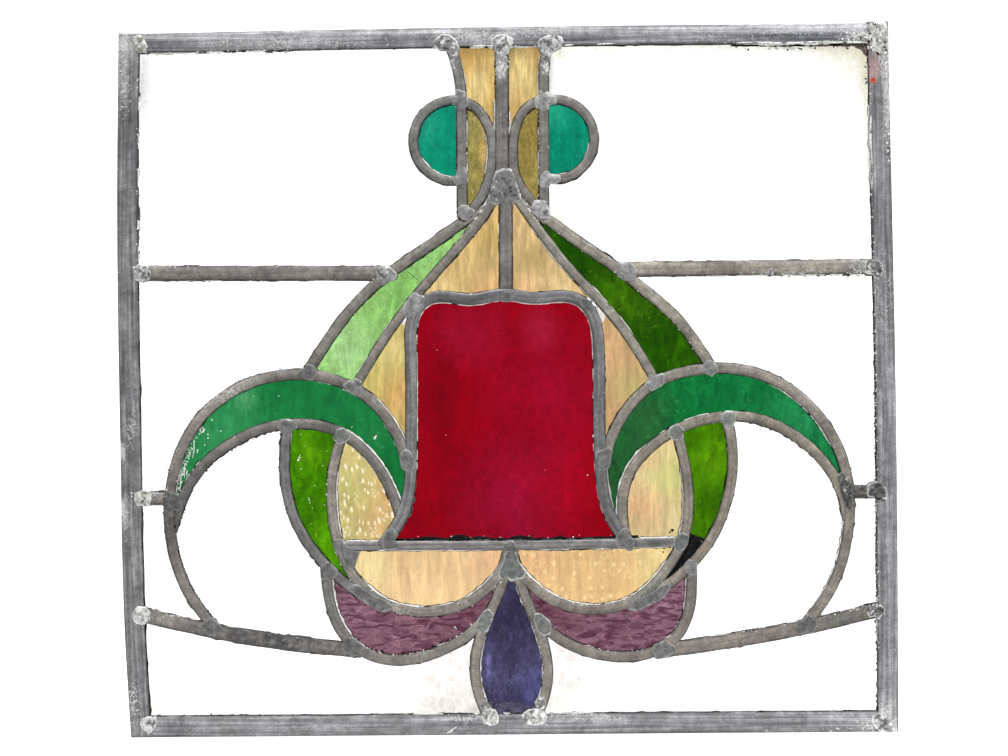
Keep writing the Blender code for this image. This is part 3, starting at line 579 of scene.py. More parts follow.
# where a length of lead is paler or darker than the rest of it: shade, column, row, reach, strength, oval
LEAD_WASHES = {
    "border_came_left": [((176, 176, 176), 126, 46, 22, 0.8), ((168, 168, 170), 126, 68, 26, 0.7, (0.35, 1)),
                         ((172, 172, 172), 126, 515, 22, 0.8, (0.4, 1)), ((100, 100, 104), 136, 150, 60, 0.6, (0.3, 1)),
                         ((96, 96, 100), 136, 690, 60, 0.6, (0.3, 1)), ((150, 150, 153), 133, 640, 26, 0.5, (0.4, 1))],
    "border_came_right": [((190, 188, 186), 886, 95, 60, 0.8, (0.14, 1)), ((112, 112, 116), 880, 240, 90, 0.6, (0.3, 1)),
                          ((176, 176, 178), 890, 715, 26, 0.8), ((104, 104, 110), 879, 640, 40, 0.6, (0.4, 1))],
    "border_came_top": [((96, 96, 100), 156, 47, 26, 0.9, (1, 0.4)), ((104, 104, 110), 825, 33, 30, 0.7, (1, 0.5)),
                        ((186, 186, 188), 240, 44, 60, 0.6, (1, 0.3)), ((190, 190, 192), 560, 47, 40, 0.7, (1, 0.12)),
                        ((176, 176, 180), 700, 30, 90, 0.5, (1, 0.2)), ((202, 204, 210), 790, 29, 110, 0.6, (1, 0.08)),
                        ((98, 102, 112), 800, 39, 100, 0.9, (1, 0.11)), ((100, 102, 110), 560, 40, 70, 0.7, (1, 0.10))],
    "border_came_bottom": [((134, 134, 136), 230, 722, 44, 0.8, (1, 0.3)), ((86, 86, 90), 175, 726, 20, 0.7, (1, 0.6)),
                           ((138, 138, 140), 700, 716, 110, 0.5, (1, 0.1)), ((94, 94, 98), 470, 726, 60, 0.5, (1, 0.4))],
    "came_petal_left": [((72, 73, 76), 276, 640, 110, 1.0, (1, 0.5)), ((112, 114, 112), 335, 600, 40, 0.8, (0.6, 1))],
    "came_petal_right": [((144, 137, 129), 740, 642, 110, 0.8, (1, 0.5)), ((100, 104, 100), 840, 620, 40, 0.8, (1, 0.5)), ((118, 120, 116), 688, 590, 36, 0.7, (0.6, 1))],
    "came_outer_arch_left": [((84, 82, 82), 168, 528, 60, 0.9, (0.4, 1)), ((184, 174, 166), 205, 408, 46, 0.7, (1, 1)), ((150, 147, 143), 156, 496, 10, 0.6),
                             ((176, 172, 166), 245, 384, 34, 0.6)],
    "came_outer_arch_right": [((70, 69, 68), 864, 491, 44, 1.0, (0.9, 0.5)), ((176, 168, 158), 800, 398, 40, 0.5)],
    "came_centre": [((168, 170, 172), 501, 68, 12, 0.9, (1, 1.6)), ((98, 98, 96), 502, 110, 40, 0.5, (0.4, 1))],
    "came_inner_arch_left": [((90, 89, 89), 172, 532, 70, 0.95, (0.5, 1)), ((80, 81, 84), 194, 596, 66, 1.0, (0.7, 1)), ((104, 102, 104), 196, 476, 40, 0.6)],
    "came_cup_left": [((112, 116, 114), 372, 596, 26, 0.9), ((108, 110, 110), 346, 556, 18, 0.7)],
    "came_cup_right": [((110, 114, 110), 652, 592, 26, 0.8)],
    "came_crossbar_blade_right": [((184, 178, 168), 800, 262, 70, 0.5, (1, 0.1)), ((108, 110, 108), 858, 268, 20, 0.8)],
}
LEAD_BANDS = {              # across the lead, from its lower edge to its upper one: the mill's ridges, and painted light paler on the upper edge
    "border_came_top": [(0.0, 0.70), (0.14, 1.12), (0.34, 1.02), (0.44, 0.66), (0.53, 0.92), (0.72, 1.22), (1.0, 1.02)],
    "border_came_bottom": [(0.0, 0.86), (0.20, 1.08), (0.45, 0.92), (0.62, 1.10), (0.84, 0.92), (1.0, 1.1)],
}
LEAD_SCUFFS = {             # column, row, reach in squares, how thickly it lies, oval
    "border_came_top": [(478, 36, 60, 0.16, (1, 0.14)), (545, 31, 60, 0.10, (1, 0.12)), (300, 42, 120, 0.10, (1, 0.08)),
                        (800, 31, 80, 0.12, (1, 0.09)), (860, 36, 22, 0.20, (1, 0.5)), (720, 40, 60, 0.06, (1, 0.10))],
    "border_came_right": [(883, 60, 34, 0.16, (0.3, 1)), (887, 110, 60, 0.16, (0.12, 1)), (884, 712, 20, 0.12, (0.5, 1)),
                          (878, 300, 60, 0.05, (0.3, 1))],
    "border_came_left": [(126, 46, 22, 0.18, (0.6, 1)), (125, 90, 40, 0.12, (0.2, 1)), (123, 509, 16, 0.28, (0.3, 1)), (123, 452, 16, 0.28, (0.3, 1)), (126, 516, 30, 0.12, (0.2, 1)),
                         (132, 430, 24, 0.10, (0.4, 1)), (134, 700, 30, 0.12, (0.3, 1))],
    "border_came_bottom": [(470, 718, 40, 0.12, (1, 0.10)), (590, 717, 60, 0.10, (1, 0.08)), (866, 724, 20, 0.10, (1, 0.5))],
    "came_centre": [(501, 70, 14, 0.20, (0.7, 1)), (502, 54, 10, 0.14)],
    "came_stem_ring_right": [(546, 68, 12, 0.20, (0.6, 1)), (550, 60, 8, 0.12)],
    "came_stem_ring_left": [(452, 64, 12, 0.16, (0.6, 1))],
    "came_outer_arch_left": [(230, 394, 30, 0.12, (1, 0.5)), (157, 494, 8, 0.06)],
    "came_crossbar_blade_right": [(790, 272, 60, 0.12, (1, 0.07)), (860, 268, 16, 0.14)],
    "came_petal_left": [(168, 616, 22, 0.10, (1, 0.22)), (205, 627, 12, 0.05, (1, 0.4))],
    "came_petal_right": [(872, 609, 18, 0.08, (1, 0.5))],
}
# the top border's upward flank gets a stronger painted light than the rest
LEAD_OF = {node: lead_material("lead_" + node, rgb, drawn, LEAD_WASHES.get(node, ()),
                               (0.66, 1.42) if node == "border_came_top" else (0.80, 1.24),
                               red_paint if node == "border_came_right" else None, LEAD_BANDS.get(node, ()),
                               LEAD_SCUFFS.get(node, ()))
           for node, (rgb, drawn) in LEAD_SHADES.items()}


def solder_material(name, dark, mid, light, crust, rmin, rmax, bump, rim):
    """Solder: crust is how much of it a dry white bloom covers, rim how bright the painted highlight along its edge is.
    """
    n = Net(name)
    f = n.grain((330, 330, 330), 5, rough_=0.6)
    g = n.grain((1300, 1300, 1300), 4)
    col = n.ramp(f, [(0.32, dark), (0.50, mid), (0.70, light)])
    col = n.mix(col, n.ramp(g, [(0.3, (0.84, 0.84, 0.84)), (0.7, (1.18, 1.18, 1.18))]), 0.7, "MULTIPLY")
    torn = n.span(n.grain((240, 240, 240), 4, distortion=0.6), 0.43, 0.52, 0.0, 1.0)
    # a painted highlight along the lump's edge, broken up in places
    edge = n.maths("MULTIPLY", n.span(n.attr("rim"), 0.35, 0.9, 0.0, rim), torn)
    if crust:
        h = n.maths("ADD", n.attr("high"), n.span(n.grain((900, 900, 900), 4, rough_=0.7), 0.3, 0.7, -0.45, 0.45))
        col = n.mix(col, tuple(0.32 * c for c in dark), n.span(h, -0.26, -0.60, 0.0, 0.85))
        col = n.mix(col, (0.74, 0.74, 0.72), n.span(h, 1.0 - crust, 1.25 - crust, 0.0, 0.95))
        col = n.mix(col, (0.72, 0.72, 0.71), edge)
    else:
        col = n.mix(col, tuple(min(2.1 * c, 0.8) for c in light), edge)
        col = n.mix(col, tuple(1.35 * c for c in light), n.maths("MULTIPLY", n.contour((210, 210, 210), 0.010), 0.55))
        col = n.mix(col, tuple(0.5 * c for c in dark), n.maths("MULTIPLY", n.contour((150, 150, 150), 0.007, 2.0), 0.5))
    n.colour(col)
    n.t.links.new(n.span(f, 0.3, 0.7, rmax, rmin), n.sh.inputs["Roughness"])
    n.set(Metallic=0.2 if crust else 0.3)
    n.bump(g, bump, 0.00015)
    return n.mat


# dark, mid and light shades, bloom, roughness least and most, bump, how bright the painted highlight along the edge is
SOLDER = {
    "smooth": ((0.105, 0.106, 0.105), (0.205, 0.208, 0.205), (0.36, 0.365, 0.355), 0, 0.34, 0.55, 0.7, 0.30),
    "ringed": ((0.115, 0.124, 0.116), (0.210, 0.224, 0.210), (0.36, 0.375, 0.36), 0, 0.30, 0.52, 0.7, 0.75),
    "rough": ((0.12, 0.12, 0.12), (0.23, 0.23, 0.23), (0.40, 0.40, 0.40), 0.54, 0.34, 0.6, 0.9, 0.5),
    "dull": ((0.045, 0.045, 0.045), (0.125, 0.122, 0.118), (0.27, 0.265, 0.255), 0.42, 0.34, 0.6, 0.9, 0.10),
    "plate": ((0.14, 0.14, 0.14), (0.25, 0.25, 0.25), (0.38, 0.38, 0.38), 0.52, 0.34, 0.6, 0.8, 0.5),
    "crusty": ((0.10, 0.10, 0.10), (0.24, 0.24, 0.237), (0.44, 0.44, 0.43), 0.72, 0.36, 0.65, 1.0, 0.9),
    "cream": ((0.14, 0.138, 0.125), (0.32, 0.315, 0.29), (0.62, 0.61, 0.57), 0.72, 0.30, 0.6, 0.8, 0.9),
    "char": ((0.035, 0.035, 0.036), (0.10, 0.10, 0.10), (0.30, 0.30, 0.30), 0.60, 0.36, 0.65, 1.0, 0.8),
    "bright": ((0.22, 0.22, 0.21), (0.56, 0.56, 0.54), (0.82, 0.82, 0.80), 0.85, 0.34, 0.6, 0.9, 1.0),
}
# how much paler or darker than usual each lump is coloured
TONE = {
    "corner_top_left": 1.5, "corner_bottom_left": 2.45, "corner_bottom_right": 2.4, "corner_top_right": 1.75,
    "stem_top_left": 1.4, "centre_top": 2.0, "stem_top_right": 2.7, "stub_border_left": 2.0, "stub_border_right": 1.2,
    "slope_border_left": 2.6, "slope_border_right": 0.65, "cross_border_left": 2.0, "ring_top_left": 1.3,
    "ring_foot_left": 1.5, "ring_top_right": 2.0, "ring_foot_right": 2.2, "stem_foot_left": 1.7, "stem_foot_right": 2.2,
    "cross_blade_left": 1.5, "cross_blade_right": 1.8, "inner_blade_arch_left": 1.3, "shoulder_left": 1.8,
    "shoulder_right": 0.82, "centre_surround": 0.9, "cup_arch_left": 1.2, "leaf_arch_left": 1.2, "leaf_arch_right": 1.5,
    "cup_arch_right": 1.3, "blade_arch_right": 1.6, "inner_blade_arch_right": 1.8, "arch_surround_left": 1.3,
    "arch_surround_right": 1.2, "stub_arch_left": 0.75, "petal_drop_left": 1.25, "petal_drop_right": 1.15, "neck": 1.15, "cross_border_right": 0.9,
    "stub_arch_right": 1.2, "leaf_petal_right": 1.5,
    "petal_slope_left": 0.75, "petal_slope_right": 1.0, "arch_slope_left": 0.9, "arch_slope_right": 0.8,
    "base_surround_right": 1.1, "base_cup_left": 1.2, "leaf_cup_left": 0.95, "leaf_cup_right": 1.05,
}
MELTED = {}


def solder_of(kind, tone):
    if (kind, tone) not in MELTED:
        dark, mid, light, *rest = SOLDER[kind]
        dark, mid, light = (tuple(min(0.74 * tone * c, 0.70) for c in v) for v in (dark, mid, light))
        MELTED[kind, tone] = solder_material("solder_%s_%d" % (kind, round(100 * tone)), dark, mid, light, *rest)
    return MELTED[kind, tone]


def cement_material(name, a, b, c, r, spec=0.5):
    n = Net(name)
    f = n.grain((700, 700, 700), 5)
    n.colour(n.ramp(f, [(0.35, a), (0.55, b), (0.75, c)]))
    n.set(Roughness=r, Specular_IOR_Level=spec)
    n.bump(n.grain((1800, 1800, 1800), 3), 0.8, 0.0002)
    return n.mat


CEMENT = cement_material("cement_black", (0.002, 0.002, 0.003), (0.006, 0.006, 0.007), (0.035, 0.035, 0.036), 0.85, 0.12)
CHALK = cement_material("cement_chalk", (0.50, 0.49, 0.45), (0.82, 0.82, 0.79), (0.94, 0.94, 0.92), 0.8)
CEMENT_GREY = cement_material("cement_grey", (0.030, 0.030, 0.030), (0.075, 0.075, 0.074), (0.20, 0.20, 0.195), 0.9)
DIRT = cement_material("corner_dirt", (0.05, 0.035, 0.025), (0.12, 0.09, 0.07), (0.35, 0.30, 0.24), 0.9)


# ------------------------------------------------------------------ the lead net
PATH, HALF = {}, {}
for key, (w, pts) in LINES.items():
    p = place(*spline(pts).T)
    PATH[key] = resample(p, 0.45 * MM)[0]
    HALF[key] = w * GRID / 2


def away(xz, line):
    """Distance of each point from a line's centre."""
    xz, c = np.asarray(xz, float), PATH[line]
    out = np.empty(len(xz))
    for i in range(0, len(xz), 2000):
        d = xz[i:i + 2000, None] - c[None]
        out[i:i + 2000] = np.sqrt((d ** 2).sum(-1).min(1))
    return out


def leaf_shape(v, border):
    """Height of a leaf across its width, v from -1 to 1, as a share of TOP."""
    a = np.abs(v)
    return 1 - (0.05 * a ** 6 if border else 0.03 * a ** 2 + 0.17 * a ** 5)


def came(line, seed):
    """One length of came: H-section swept along its line, worked and dented by hand."""
    border = line.startswith("border")
    upright = line in ("border_left", "border_right")
    path = place(*spline(LINES[line][1]).T)
    if upright:                               # it stands on its own foot, cut square
        path = path[path[:, 1] >= 0]
    p, s = resample(path, STEP_ALONG)
    t = np.gradient(p, axis=0)
    t /= np.linalg.norm(t, axis=1)[:, None]
    nrm = np.stack([-t[:, 1], t[:, 0]], 1)
    if line == "border_bottom":
        p[:, 1] = HALF[line]
        nrm[:] = (0, 1)
    half = HALF[line]
    k = len(p)
    wob = [half * (1 + 0.022 * noise(s, 0 * s, 0.016, seed + a)) + 0.07 * MM * noise(s, 0 * s, 0.004, seed + 3 + a)
           for a in (0, 40)]
    if border:                                # its outer edge is the part's own size
        out_side = 0 if np.dot(nrm[k // 2], p[k // 2] - np.array([0, 0.18])) < 0 else 1
        wob[out_side] = np.full(k, half) - 0.04 * MM * np.abs(noise(s, 0 * s, 0.01, seed))
    fv = [-1, -0.95, -0.86, -0.7, -0.5, -0.3, -0.1, 0.1, 0.3, 0.5, 0.7, 0.86, 0.95, 1] if border \
        else [-1, -0.93, -0.72, -0.38, 0, 0.38, 0.72, 0.93, 1]
    bv = [-1, -0.93, -0.5, 0, 0.5, 0.93, 1]
    rows = []                                 # (v, depth as share, kind)
    for v in fv:
        rows.append((v, -1, "face"))
    hx = HEART / 2 / half
    if border:
        wall = 1 - BORDER_WALL / half         # closed wall on the outside
        inner = -1 if out_side == 1 else 1    # the v of the glass side
        right = [(0.96, -UNDER, "in"), (-wall if inner == 1 else 0.96, -UNDER, "in")]
        if inner == 1:
            chain_r = [(0.96, -UNDER), (-wall, -UNDER), (-wall, UNDER), (0.96, UNDER)]
            chain_l = []
        else:
            chain_r = []
            chain_l = [(-0.96, UNDER), (wall, UNDER), (wall, -UNDER), (-0.96, -UNDER)]
    else:
        chain_r = [(0.95, -UNDER), (hx, -UNDER), (hx, UNDER), (0.95, UNDER)]
        chain_l = [(-0.95, UNDER), (-hx, UNDER), (-hx, -UNDER), (-0.95, -UNDER)]
    V, Y, F = [], [], []
    for v in fv:
        V.append(v); Y.append(-TOP * float(leaf_shape(v, border)) if abs(v) < 1 else -1.85 * MM); F.append(-1)
    for v, y in chain_r:
        V.append(v); Y.append(y); F.append(0)
    for v in bv[::-1]:
        V.append(v); Y.append(TOP * float(leaf_shape(v, border)) if abs(v) < 1 else 1.85 * MM); F.append(1)
    for v, y in chain_l:
        V.append(v); Y.append(y); F.append(0)
    V, Y, F = np.array(V), np.array(Y), np.array(F)
    m = len(V)
    across = np.where(V[None] < 0, V[None] * wob[0][:, None], V[None] * wob[1][:, None])
    if not border:                            # the heart keeps its thickness
        across[:, F == 0] = np.where(np.abs(V[F == 0]) < 0.5, np.sign(V[F == 0]) * HEART / 2, across[:, F == 0])
    xz = p[:, None] + nrm[:, None] * across[..., None]
    y = np.repeat(Y[None], k, 0)
    X, Z = xz[..., 0], xz[..., 1]
    if upright:
        Z[0] = 0
        Z[:] = np.maximum(Z, 0)
    dent = 0.10 * MM * rough(X, Z, 0.009, seed + 7, 3) * (np.abs(V) < 1)
    if border:
        ridge = 0.055 * MM * (np.cos(V * 9.0 + 0.9 * noise(s, 0 * s, 0.05, seed)[:, None] + seed)
                              + 0.6 * np.cos(V * 17.0 + seed)) * (np.abs(V) < 0.9)
        dent = dent * 0.7 + ridge
    y = np.where(F == -1, y + np.maximum(dent, -0.12 * MM), y)
    y = np.where(F == 1, y - np.maximum(dent[:, ::-1] if False else dent, -0.12 * MM), y)
    for other in UNDER_OF.get(line, []):      # pressed down where it runs under a neighbour
        d = away(xz.reshape(-1, 2), other).reshape(k, m)
        q = smooth((HALF[other] + 0.15 * MM - d) / (0.9 * MM))
        y = np.where(F != 0, y * (1 - 0.40 * q), y)
    lift = {"drop_right": 0.03, "surround": 0.02}.get(line, 0) * MM
    y = np.where(F == -1, y + lift, y)
    verts = np.stack([X, y, Z], -1).reshape(-1, 3)
    faces = []
    for i in range(k - 1):
        a, b = i * m, (i + 1) * m
        for j in range(m):
            jj = (j + 1) % m
            faces.append((a + j, a + jj, b + jj, b + j))
    faces.append(tuple(range(m)))
    faces.append(tuple(range((k - 1) * m, k * m))[::-1])
    uv = np.stack([np.repeat(s[:, None], m, 1), across], -1).reshape(-1, 2)
    edge = np.repeat(np.where(F == 0, 1.0, np.abs(V))[None], k, 0).ravel()
    up = (nrm[:, 1:] * V[None]).ravel()
    return verts, faces, uv, np.stack([edge, up], 1)


def joined(parts):
    V, Fc, U, E, base = [], [], [], [], 0
    for v, f, u, e in parts:
        V.append(v); U.append(u); E.append(e)
        Fc += [tuple(i + base for i in q) for q in f]
        base += len(v)
    return np.concatenate(V), Fc, np.concatenate(U), np.concatenate(E)


MADE = []


def add(ob, slot, *nodes):
    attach(ob, "root")
    if nodes:
        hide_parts(*nodes)
    MADE.append(ob)
    return ob


for number, (node, lines) in enumerate(CAMES.items()):
    v, f, u, e = joined([came(line, 100 * number + 11 * i) for i, line in enumerate(lines)])
    mat = LEAD_OF[node]
    add(mesh_object(node + "_lead", v, f, mat, u, {"edge": e[:, 0], "up": e[:, 1]}), "lead", node)


# --------------------------------------------------------------------- solder
def lead_top(xz, near):
    """Height of the lead under each point, from the panel's middle."""
    out = np.zeros(len(xz))
    for line in near:
        v = away(xz, line) / HALF[line]
        h = TOP * leaf_shape(np.minimum(v, 1), line.startswith("border"))
        out = np.maximum(out, np.where(v < 1, h, 0))
    return out


def outside(xz, near):
    """How far each point is outside the lead, below 0 inside."""
    out = np.full(len(xz), 9.0)
    for line in near:
        out = np.minimum(out, away(xz, line) - HALF[line])
    return out


def blob(name, centre, radius, proud, kind, seed, outline=None, tone=1.0):
    c = place(*centre)
    near = [l for l in PATH if (away(c[None], l)[0] - HALF[l]) < radius + 2 * MM]
    nt, nr = (40, 8) if kind in ("smooth", "ringed") else (56, 12)
    th = np.linspace(0, 2 * math.pi, nt, endpoint=False)
    ray = np.stack([np.cos(th), np.sin(th)], 1)
    wild = 0.40 if kind == "smooth" else 0.24
    limit = radius * (1 + wild * noise(np.cos(th), np.sin(th), 0.6, seed)
                      + 0.14 * noise(np.cos(th), np.sin(th), 0.25, seed + 1))
    if outline is not None:
        poly = place(*np.array(outline, float).T)
        limit = np.empty(nt)
        for i in range(nt):
            best = 1.0
            for a, b in zip(poly, np.roll(poly, -1, 0)):
                e = b - a
                det = ray[i, 0] * -e[1] + ray[i, 1] * e[0]
                if abs(det) < 1e-12:
                    continue
                w = a - c
                t = (w[0] * -e[1] + w[1] * e[0]) / det
                u = (ray[i, 0] * w[1] - ray[i, 1] * w[0]) / det
                if t > 0 and -1e-6 <= u <= 1 + 1e-6:
                    best = min(best, t)
            limit[i] = best * (1 + 0.06 * float(noise(ray[i:i + 1, 0], ray[i:i + 1, 1], 0.22, seed)[0]))
    else:
        steps = np.arange(0.2 * MM, radius * 1.4, 0.2 * MM)
        for i in range(nt):
            o = outside(c + ray[i] * steps[:, None], near)
            hit = np.where(o > 0.10 * MM)[0]
            if len(hit):
                limit[i] = min(limit[i], max(steps[hit[0]], 0.8 * MM))
        limit = (np.roll(limit, 1) + 2 * limit + np.roll(limit, -1)) / 4
    verts, faces, rim, high = [], [], [], []
    for side in (-1, 1):
        if side == 1:
            limit = limit * (1 + 0.05 * noise(np.cos(th), np.sin(th), 0.6, seed + 50))
        rho = np.linspace(0, 1, nr + 1)[1:] ** 0.85
        pts = c + ray[None] * (rho[:, None] * limit[None])[..., None]
        flatp = np.concatenate([c[None], pts.reshape(-1, 2)])
        R = np.concatenate([[0], np.repeat(rho, nt)])
        base = np.maximum(lead_top(flatp, near), (TOP - 0.30 * MM))
        dome = proud * MM * np.clip(1 - R ** 2.6, 0, 1) ** 0.8
        if kind == "ringed":
            dome = 0.45 * dome + 0.16 * MM * np.exp(-((R - 0.84) / 0.09) ** 2)
        big, small = {"smooth": (0.09, 0.05), "ringed": (0.07, 0.04), "rough": (0.12, 0.12), "plate": (0.09, 0.07),
                      "crusty": (0.26, 0.26), "dull": (0.16, 0.14), "char": (0.22, 0.24), "cream": (0.22, 0.20), "bright": (0.20, 0.16)}[kind]
        sd = seed + (900 if side == 1 else 0)
        a_, b_ = rough(flatp[:, 0], flatp[:, 1], 0.0035, sd, 2), rough(flatp[:, 0], flatp[:, 1], 0.0014, sd + 3, 2)
        dome = dome + (1 - R ** 6) * MM * (big * a_ + small * b_)
        high += list(1.2 * (0.5 * a_ + 0.8 * b_)) + [0.0] * nt
        h = base + np.where(R < 0.999, dome, -0.30 * MM)
        off = sum(len(v) for v in verts)
        top = np.stack([flatp[:, 0], side * h, flatp[:, 1]], 1)
        low = np.stack([pts[-1][:, 0], np.full(nt, side * 1.62 * MM), pts[-1][:, 1]], 1)
        verts.append(top)
        verts.append(low)
        # where the painted edge highlight of the solder falls
        rim += list(np.exp(-((R - 0.9) / 0.08) ** 2)) + [0.0] * nt
        for j in range(nt):
            jj = (j + 1) % nt
            faces.append((off, off + 1 + j, off + 1 + jj))
            for r in range(nr - 1):
                a = off + 1 + r * nt
                faces.append((a + j, a + nt + j, a + nt + jj, a + jj))
            a, b = off + 1 + (nr - 1) * nt, off + 1 + nr * nt
            faces.append((a + j, b + j, b + jj, a + jj))
        faces.append(tuple(off + 1 + nr * nt + j for j in range(nt)))
    return mesh_object(name, np.concatenate(verts), faces, solder_of(kind, tone), None, {"rim": rim, "high": high})


# the lumps that are not round: where their edge runs, on the cutline
SPREAD = {
    "corner_top_left": [(133, 37), (139, 35), (145, 38), (149, 48), (147, 53), (140, 54), (135, 50), (132.5, 43)],
    "corner_bottom_left": [(141, 718), (148, 715), (157, 716), (158, 723), (154, 730), (149, 734), (144, 729), (140, 724)],
    "corner_bottom_right": [(871, 714), (879, 711), (886, 718), (896, 717), (897, 732), (881, 733), (874, 727), (870, 720)],
    "corner_top_right": [(856, 38), (862, 31), (869, 24), (877, 21.5), (886, 22), (887.5, 36), (887.5, 53), (881, 56),
                         (873, 52), (868.5, 46), (864, 43), (858, 43)],
    "stem_top_left": [(435, 39), (441, 34.5), (449, 35), (457, 40), (460, 49), (458, 57), (452, 57), (447, 52), (440, 51),
                      (435, 46)],
    "centre_top": [(490, 40), (495, 36), (500, 34.5), (507, 35), (513, 39), (513, 45), (510, 49), (508, 56), (503, 59),
                   (497, 57), (494, 50), (491, 46)],
    "stem_top_right": [(537, 43), (541, 38), (548, 35.5), (556, 35), (563, 38), (565, 43), (561, 48), (554, 52), (550, 58),
                       (544, 56), (539, 50)],
    "stub_border_left": [(136, 492), (143, 490), (151, 491), (153, 497), (151, 504), (146, 506.5), (138, 506), (134.5, 499)],
    "stub_border_right": [(866, 485), (873, 481), (881, 482), (886, 488), (887, 496), (885, 503), (879, 502), (873, 497.5),
                          (866, 497)],
    "stub_arch_right": [(835.5, 475), (842, 471.5), (848, 475), (852, 482), (855, 488), (855, 496), (852, 503), (851, 512),
                        (847, 515), (844, 507), (840, 495)],
    "slope_border_left": [(133, 612), (138, 605), (146, 606), (152, 612), (151, 620), (144, 625), (137, 624), (133, 619)],
    "slope_border_right": [(865, 609), (869, 604), (874, 606), (880, 604), (885, 609), (884, 615), (878, 620), (874, 616),
                           (868, 617)],
    "cross_border_left": [(133, 268), (139, 264), (148, 266), (152, 272), (150, 280), (143, 283), (135, 280)],
    "cross_border_right": [(863, 262), (870, 259.5), (877, 260), (882, 264), (883, 271), (881, 277), (877, 280), (872, 275),
                           (864, 274)],
    "leaf_cup_left": [(352, 583), (359, 584), (372, 594), (386, 600), (395, 604), (393, 610), (384, 613), (372, 607),
                      (358, 598), (350, 590)],
    "leaf_cup_right": [(668, 580), (674, 585), (664, 597), (650, 605), (636, 611), (627, 610), (628, 603), (642, 597),
                       (656, 589)],
    "neck": [(505, 549), (516, 549), (519, 560), (527, 573), (525, 580), (519, 579), (512, 583), (506, 578), (499, 583),
             (496, 575), (503, 561)],
    "petal_drop_left": [(488, 607), (494, 612), (492, 622), (487, 632), (480, 634), (475, 629), (477, 619), (483, 611)],
    "petal_drop_right": [(534, 611), (541, 613), (549, 619), (553, 628), (550, 635), (543, 636), (537, 630), (533, 619)],
    "cup_arch_left": [(337, 429), (343, 427), (350, 431), (352, 437), (346, 443), (338, 445), (333, 438)],
}
for number, (name, col, row, r, proud, kind) in enumerate(JOINTS):
    add(blob("solder_" + name, (col, row), r * GRID, proud, kind, 31 * number + 5, SPREAD.get(name),
             TONE.get(name, 1.0)), "lead")
add(blob("solder_cup_corner_left", (351, 556), 12 * GRID, 0.25, "smooth", 811,
         [(341, 549), (352, 550), (361, 551), (358, 557), (356, 564), (353, 573), (347, 566), (341, 557)]), "lead")
add(blob("solder_plate_centre", (504, 190), 20 * GRID, 0.45, "plate", 777,
         [(495, 170), (503, 167), (512, 169), (517, 181), (523, 202), (514, 205), (503, 203.5), (495, 206), (486, 203),
          (490, 188)]), "lead")
FOOT_LEFT = [(484, 708), (490, 706.5), (496, 709.5), (499.5, 716), (498.5, 723), (491, 725.5), (484, 724), (481, 716)]
FOOT_RIGHT = [(524, 711), (531, 708), (539, 707.5), (545, 711), (548, 717), (545.5, 722.5), (536, 725.5), (527, 724),
              (521, 717)]
WRAP_LEFT = [(482, 699), (488, 701), (492, 707), (488, 711), (482, 709), (479.5, 704)]
WRAP_RIGHT = [(538, 694), (544, 696), (546.5, 702), (544, 709), (537, 709), (534.5, 702)]
add(blob("solder_drop_wrap_left", (485, 705), 6 * GRID, 0.55, "rough", 803, WRAP_LEFT), "lead")
add(blob("solder_drop_wrap_right", (541, 702), 7 * GRID, 0.70, "crusty", 804, WRAP_RIGHT), "lead")
add(blob("solder_drop_foot_left", (491, 716), 10 * GRID, 0.95, "bright", 801, FOOT_LEFT), "lead")
add(blob("solder_drop_foot_right", (535, 716), 13 * GRID, 0.95, "bright", 802, FOOT_RIGHT), "lead")


# --------------------------------------------------------------------- cement
def ribbon(lines, seed, wide, spare, low, high, keep=None, sides=(-1, 1), step=1.3, jag=0.0, foot=0.9):
    """Cement squeezed out along both edges of the leaves."""
    verts, faces, off = [], [], 0
    for li, line in enumerate(lines):
        p, s = resample(PATH[line], step * MM)
        t = np.gradient(p, axis=0)
        t /= np.linalg.norm(t, axis=1)[:, None]
        nrm = np.stack([-t[:, 1], t[:, 0]], 1)
        for side in (-1, 1):
            for face in sides:
                sd = seed + 13 * li + 5 * side + 3 * face
                e = wide * MM * (0.55 + 0.9 * rough(s, 0 * s, 0.010, sd, 3))
                e = e + spare * MM * np.clip(noise(s, 0 * s, 0.003, sd + 7) - 0.55, 0, 1)
                e = e + jag * MM * np.clip(noise(s, 0 * s, 0.0016, sd + 9) + 0.1, 0, 1) * np.clip(
                    0.5 + noise(s, 0 * s, 0.02, sd + 11), 0, 1)
                e = np.clip(e, low * MM, high * MM)
                on = np.ones(len(s), bool) if keep is None else np.asarray(keep(s, s[-1], line, side, face))
                on = on & (p[:, 1] > 0.0015)
                if not on.any():
                    continue
                h = HALF[line]
                sec = [(h - foot * MM + 0 * e, 1.16 * MM + 0 * e), (h + e, 1.16 * MM + 0 * e),
                       (h + 0.45 * e, 1.24 * MM + 0.35 * np.abs(e) + 0.10 * MM),
                       (h - foot * MM + 0 * e, 1.56 * MM + 0 * e)]
                v = np.stack([np.stack([p[:, 0] + side * nrm[:, 0] * a, face * b, p[:, 1] + side * nrm[:, 1] * a], 1)
                              for a, b in sec], 1)
                for run in np.split(np.where(on)[0], np.where(np.diff(np.where(on)[0]) > 1)[0] + 1):
                    if len(run) < 3:
                        continue
                    k = len(run)
                    verts.append(v[run].reshape(-1, 3))
                    for i in range(k - 1):
                        for j in range(4):
                            jj = (j + 1) % 4
                            faces.append((off + 4 * i + j, off + 4 * i + jj, off + 4 * i + 4 + jj, off + 4 * i + 4 + j))
                    faces.append(tuple(off + j for j in range(4)))
                    faces.append(tuple(off + 4 * (k - 1) + j for j in range(4))[::-1])
                    off += 4 * k
    return np.concatenate(verts), faces


def glass_side(s, end, line, side, face):
    a, b = PATH[line][0], PATH[line][-1]
    toward = np.dot(np.array([-(b - a)[1], (b - a)[0]]), np.array([0, 0.18]) - a) > 0
    return np.full(len(s), (side == 1) == toward)


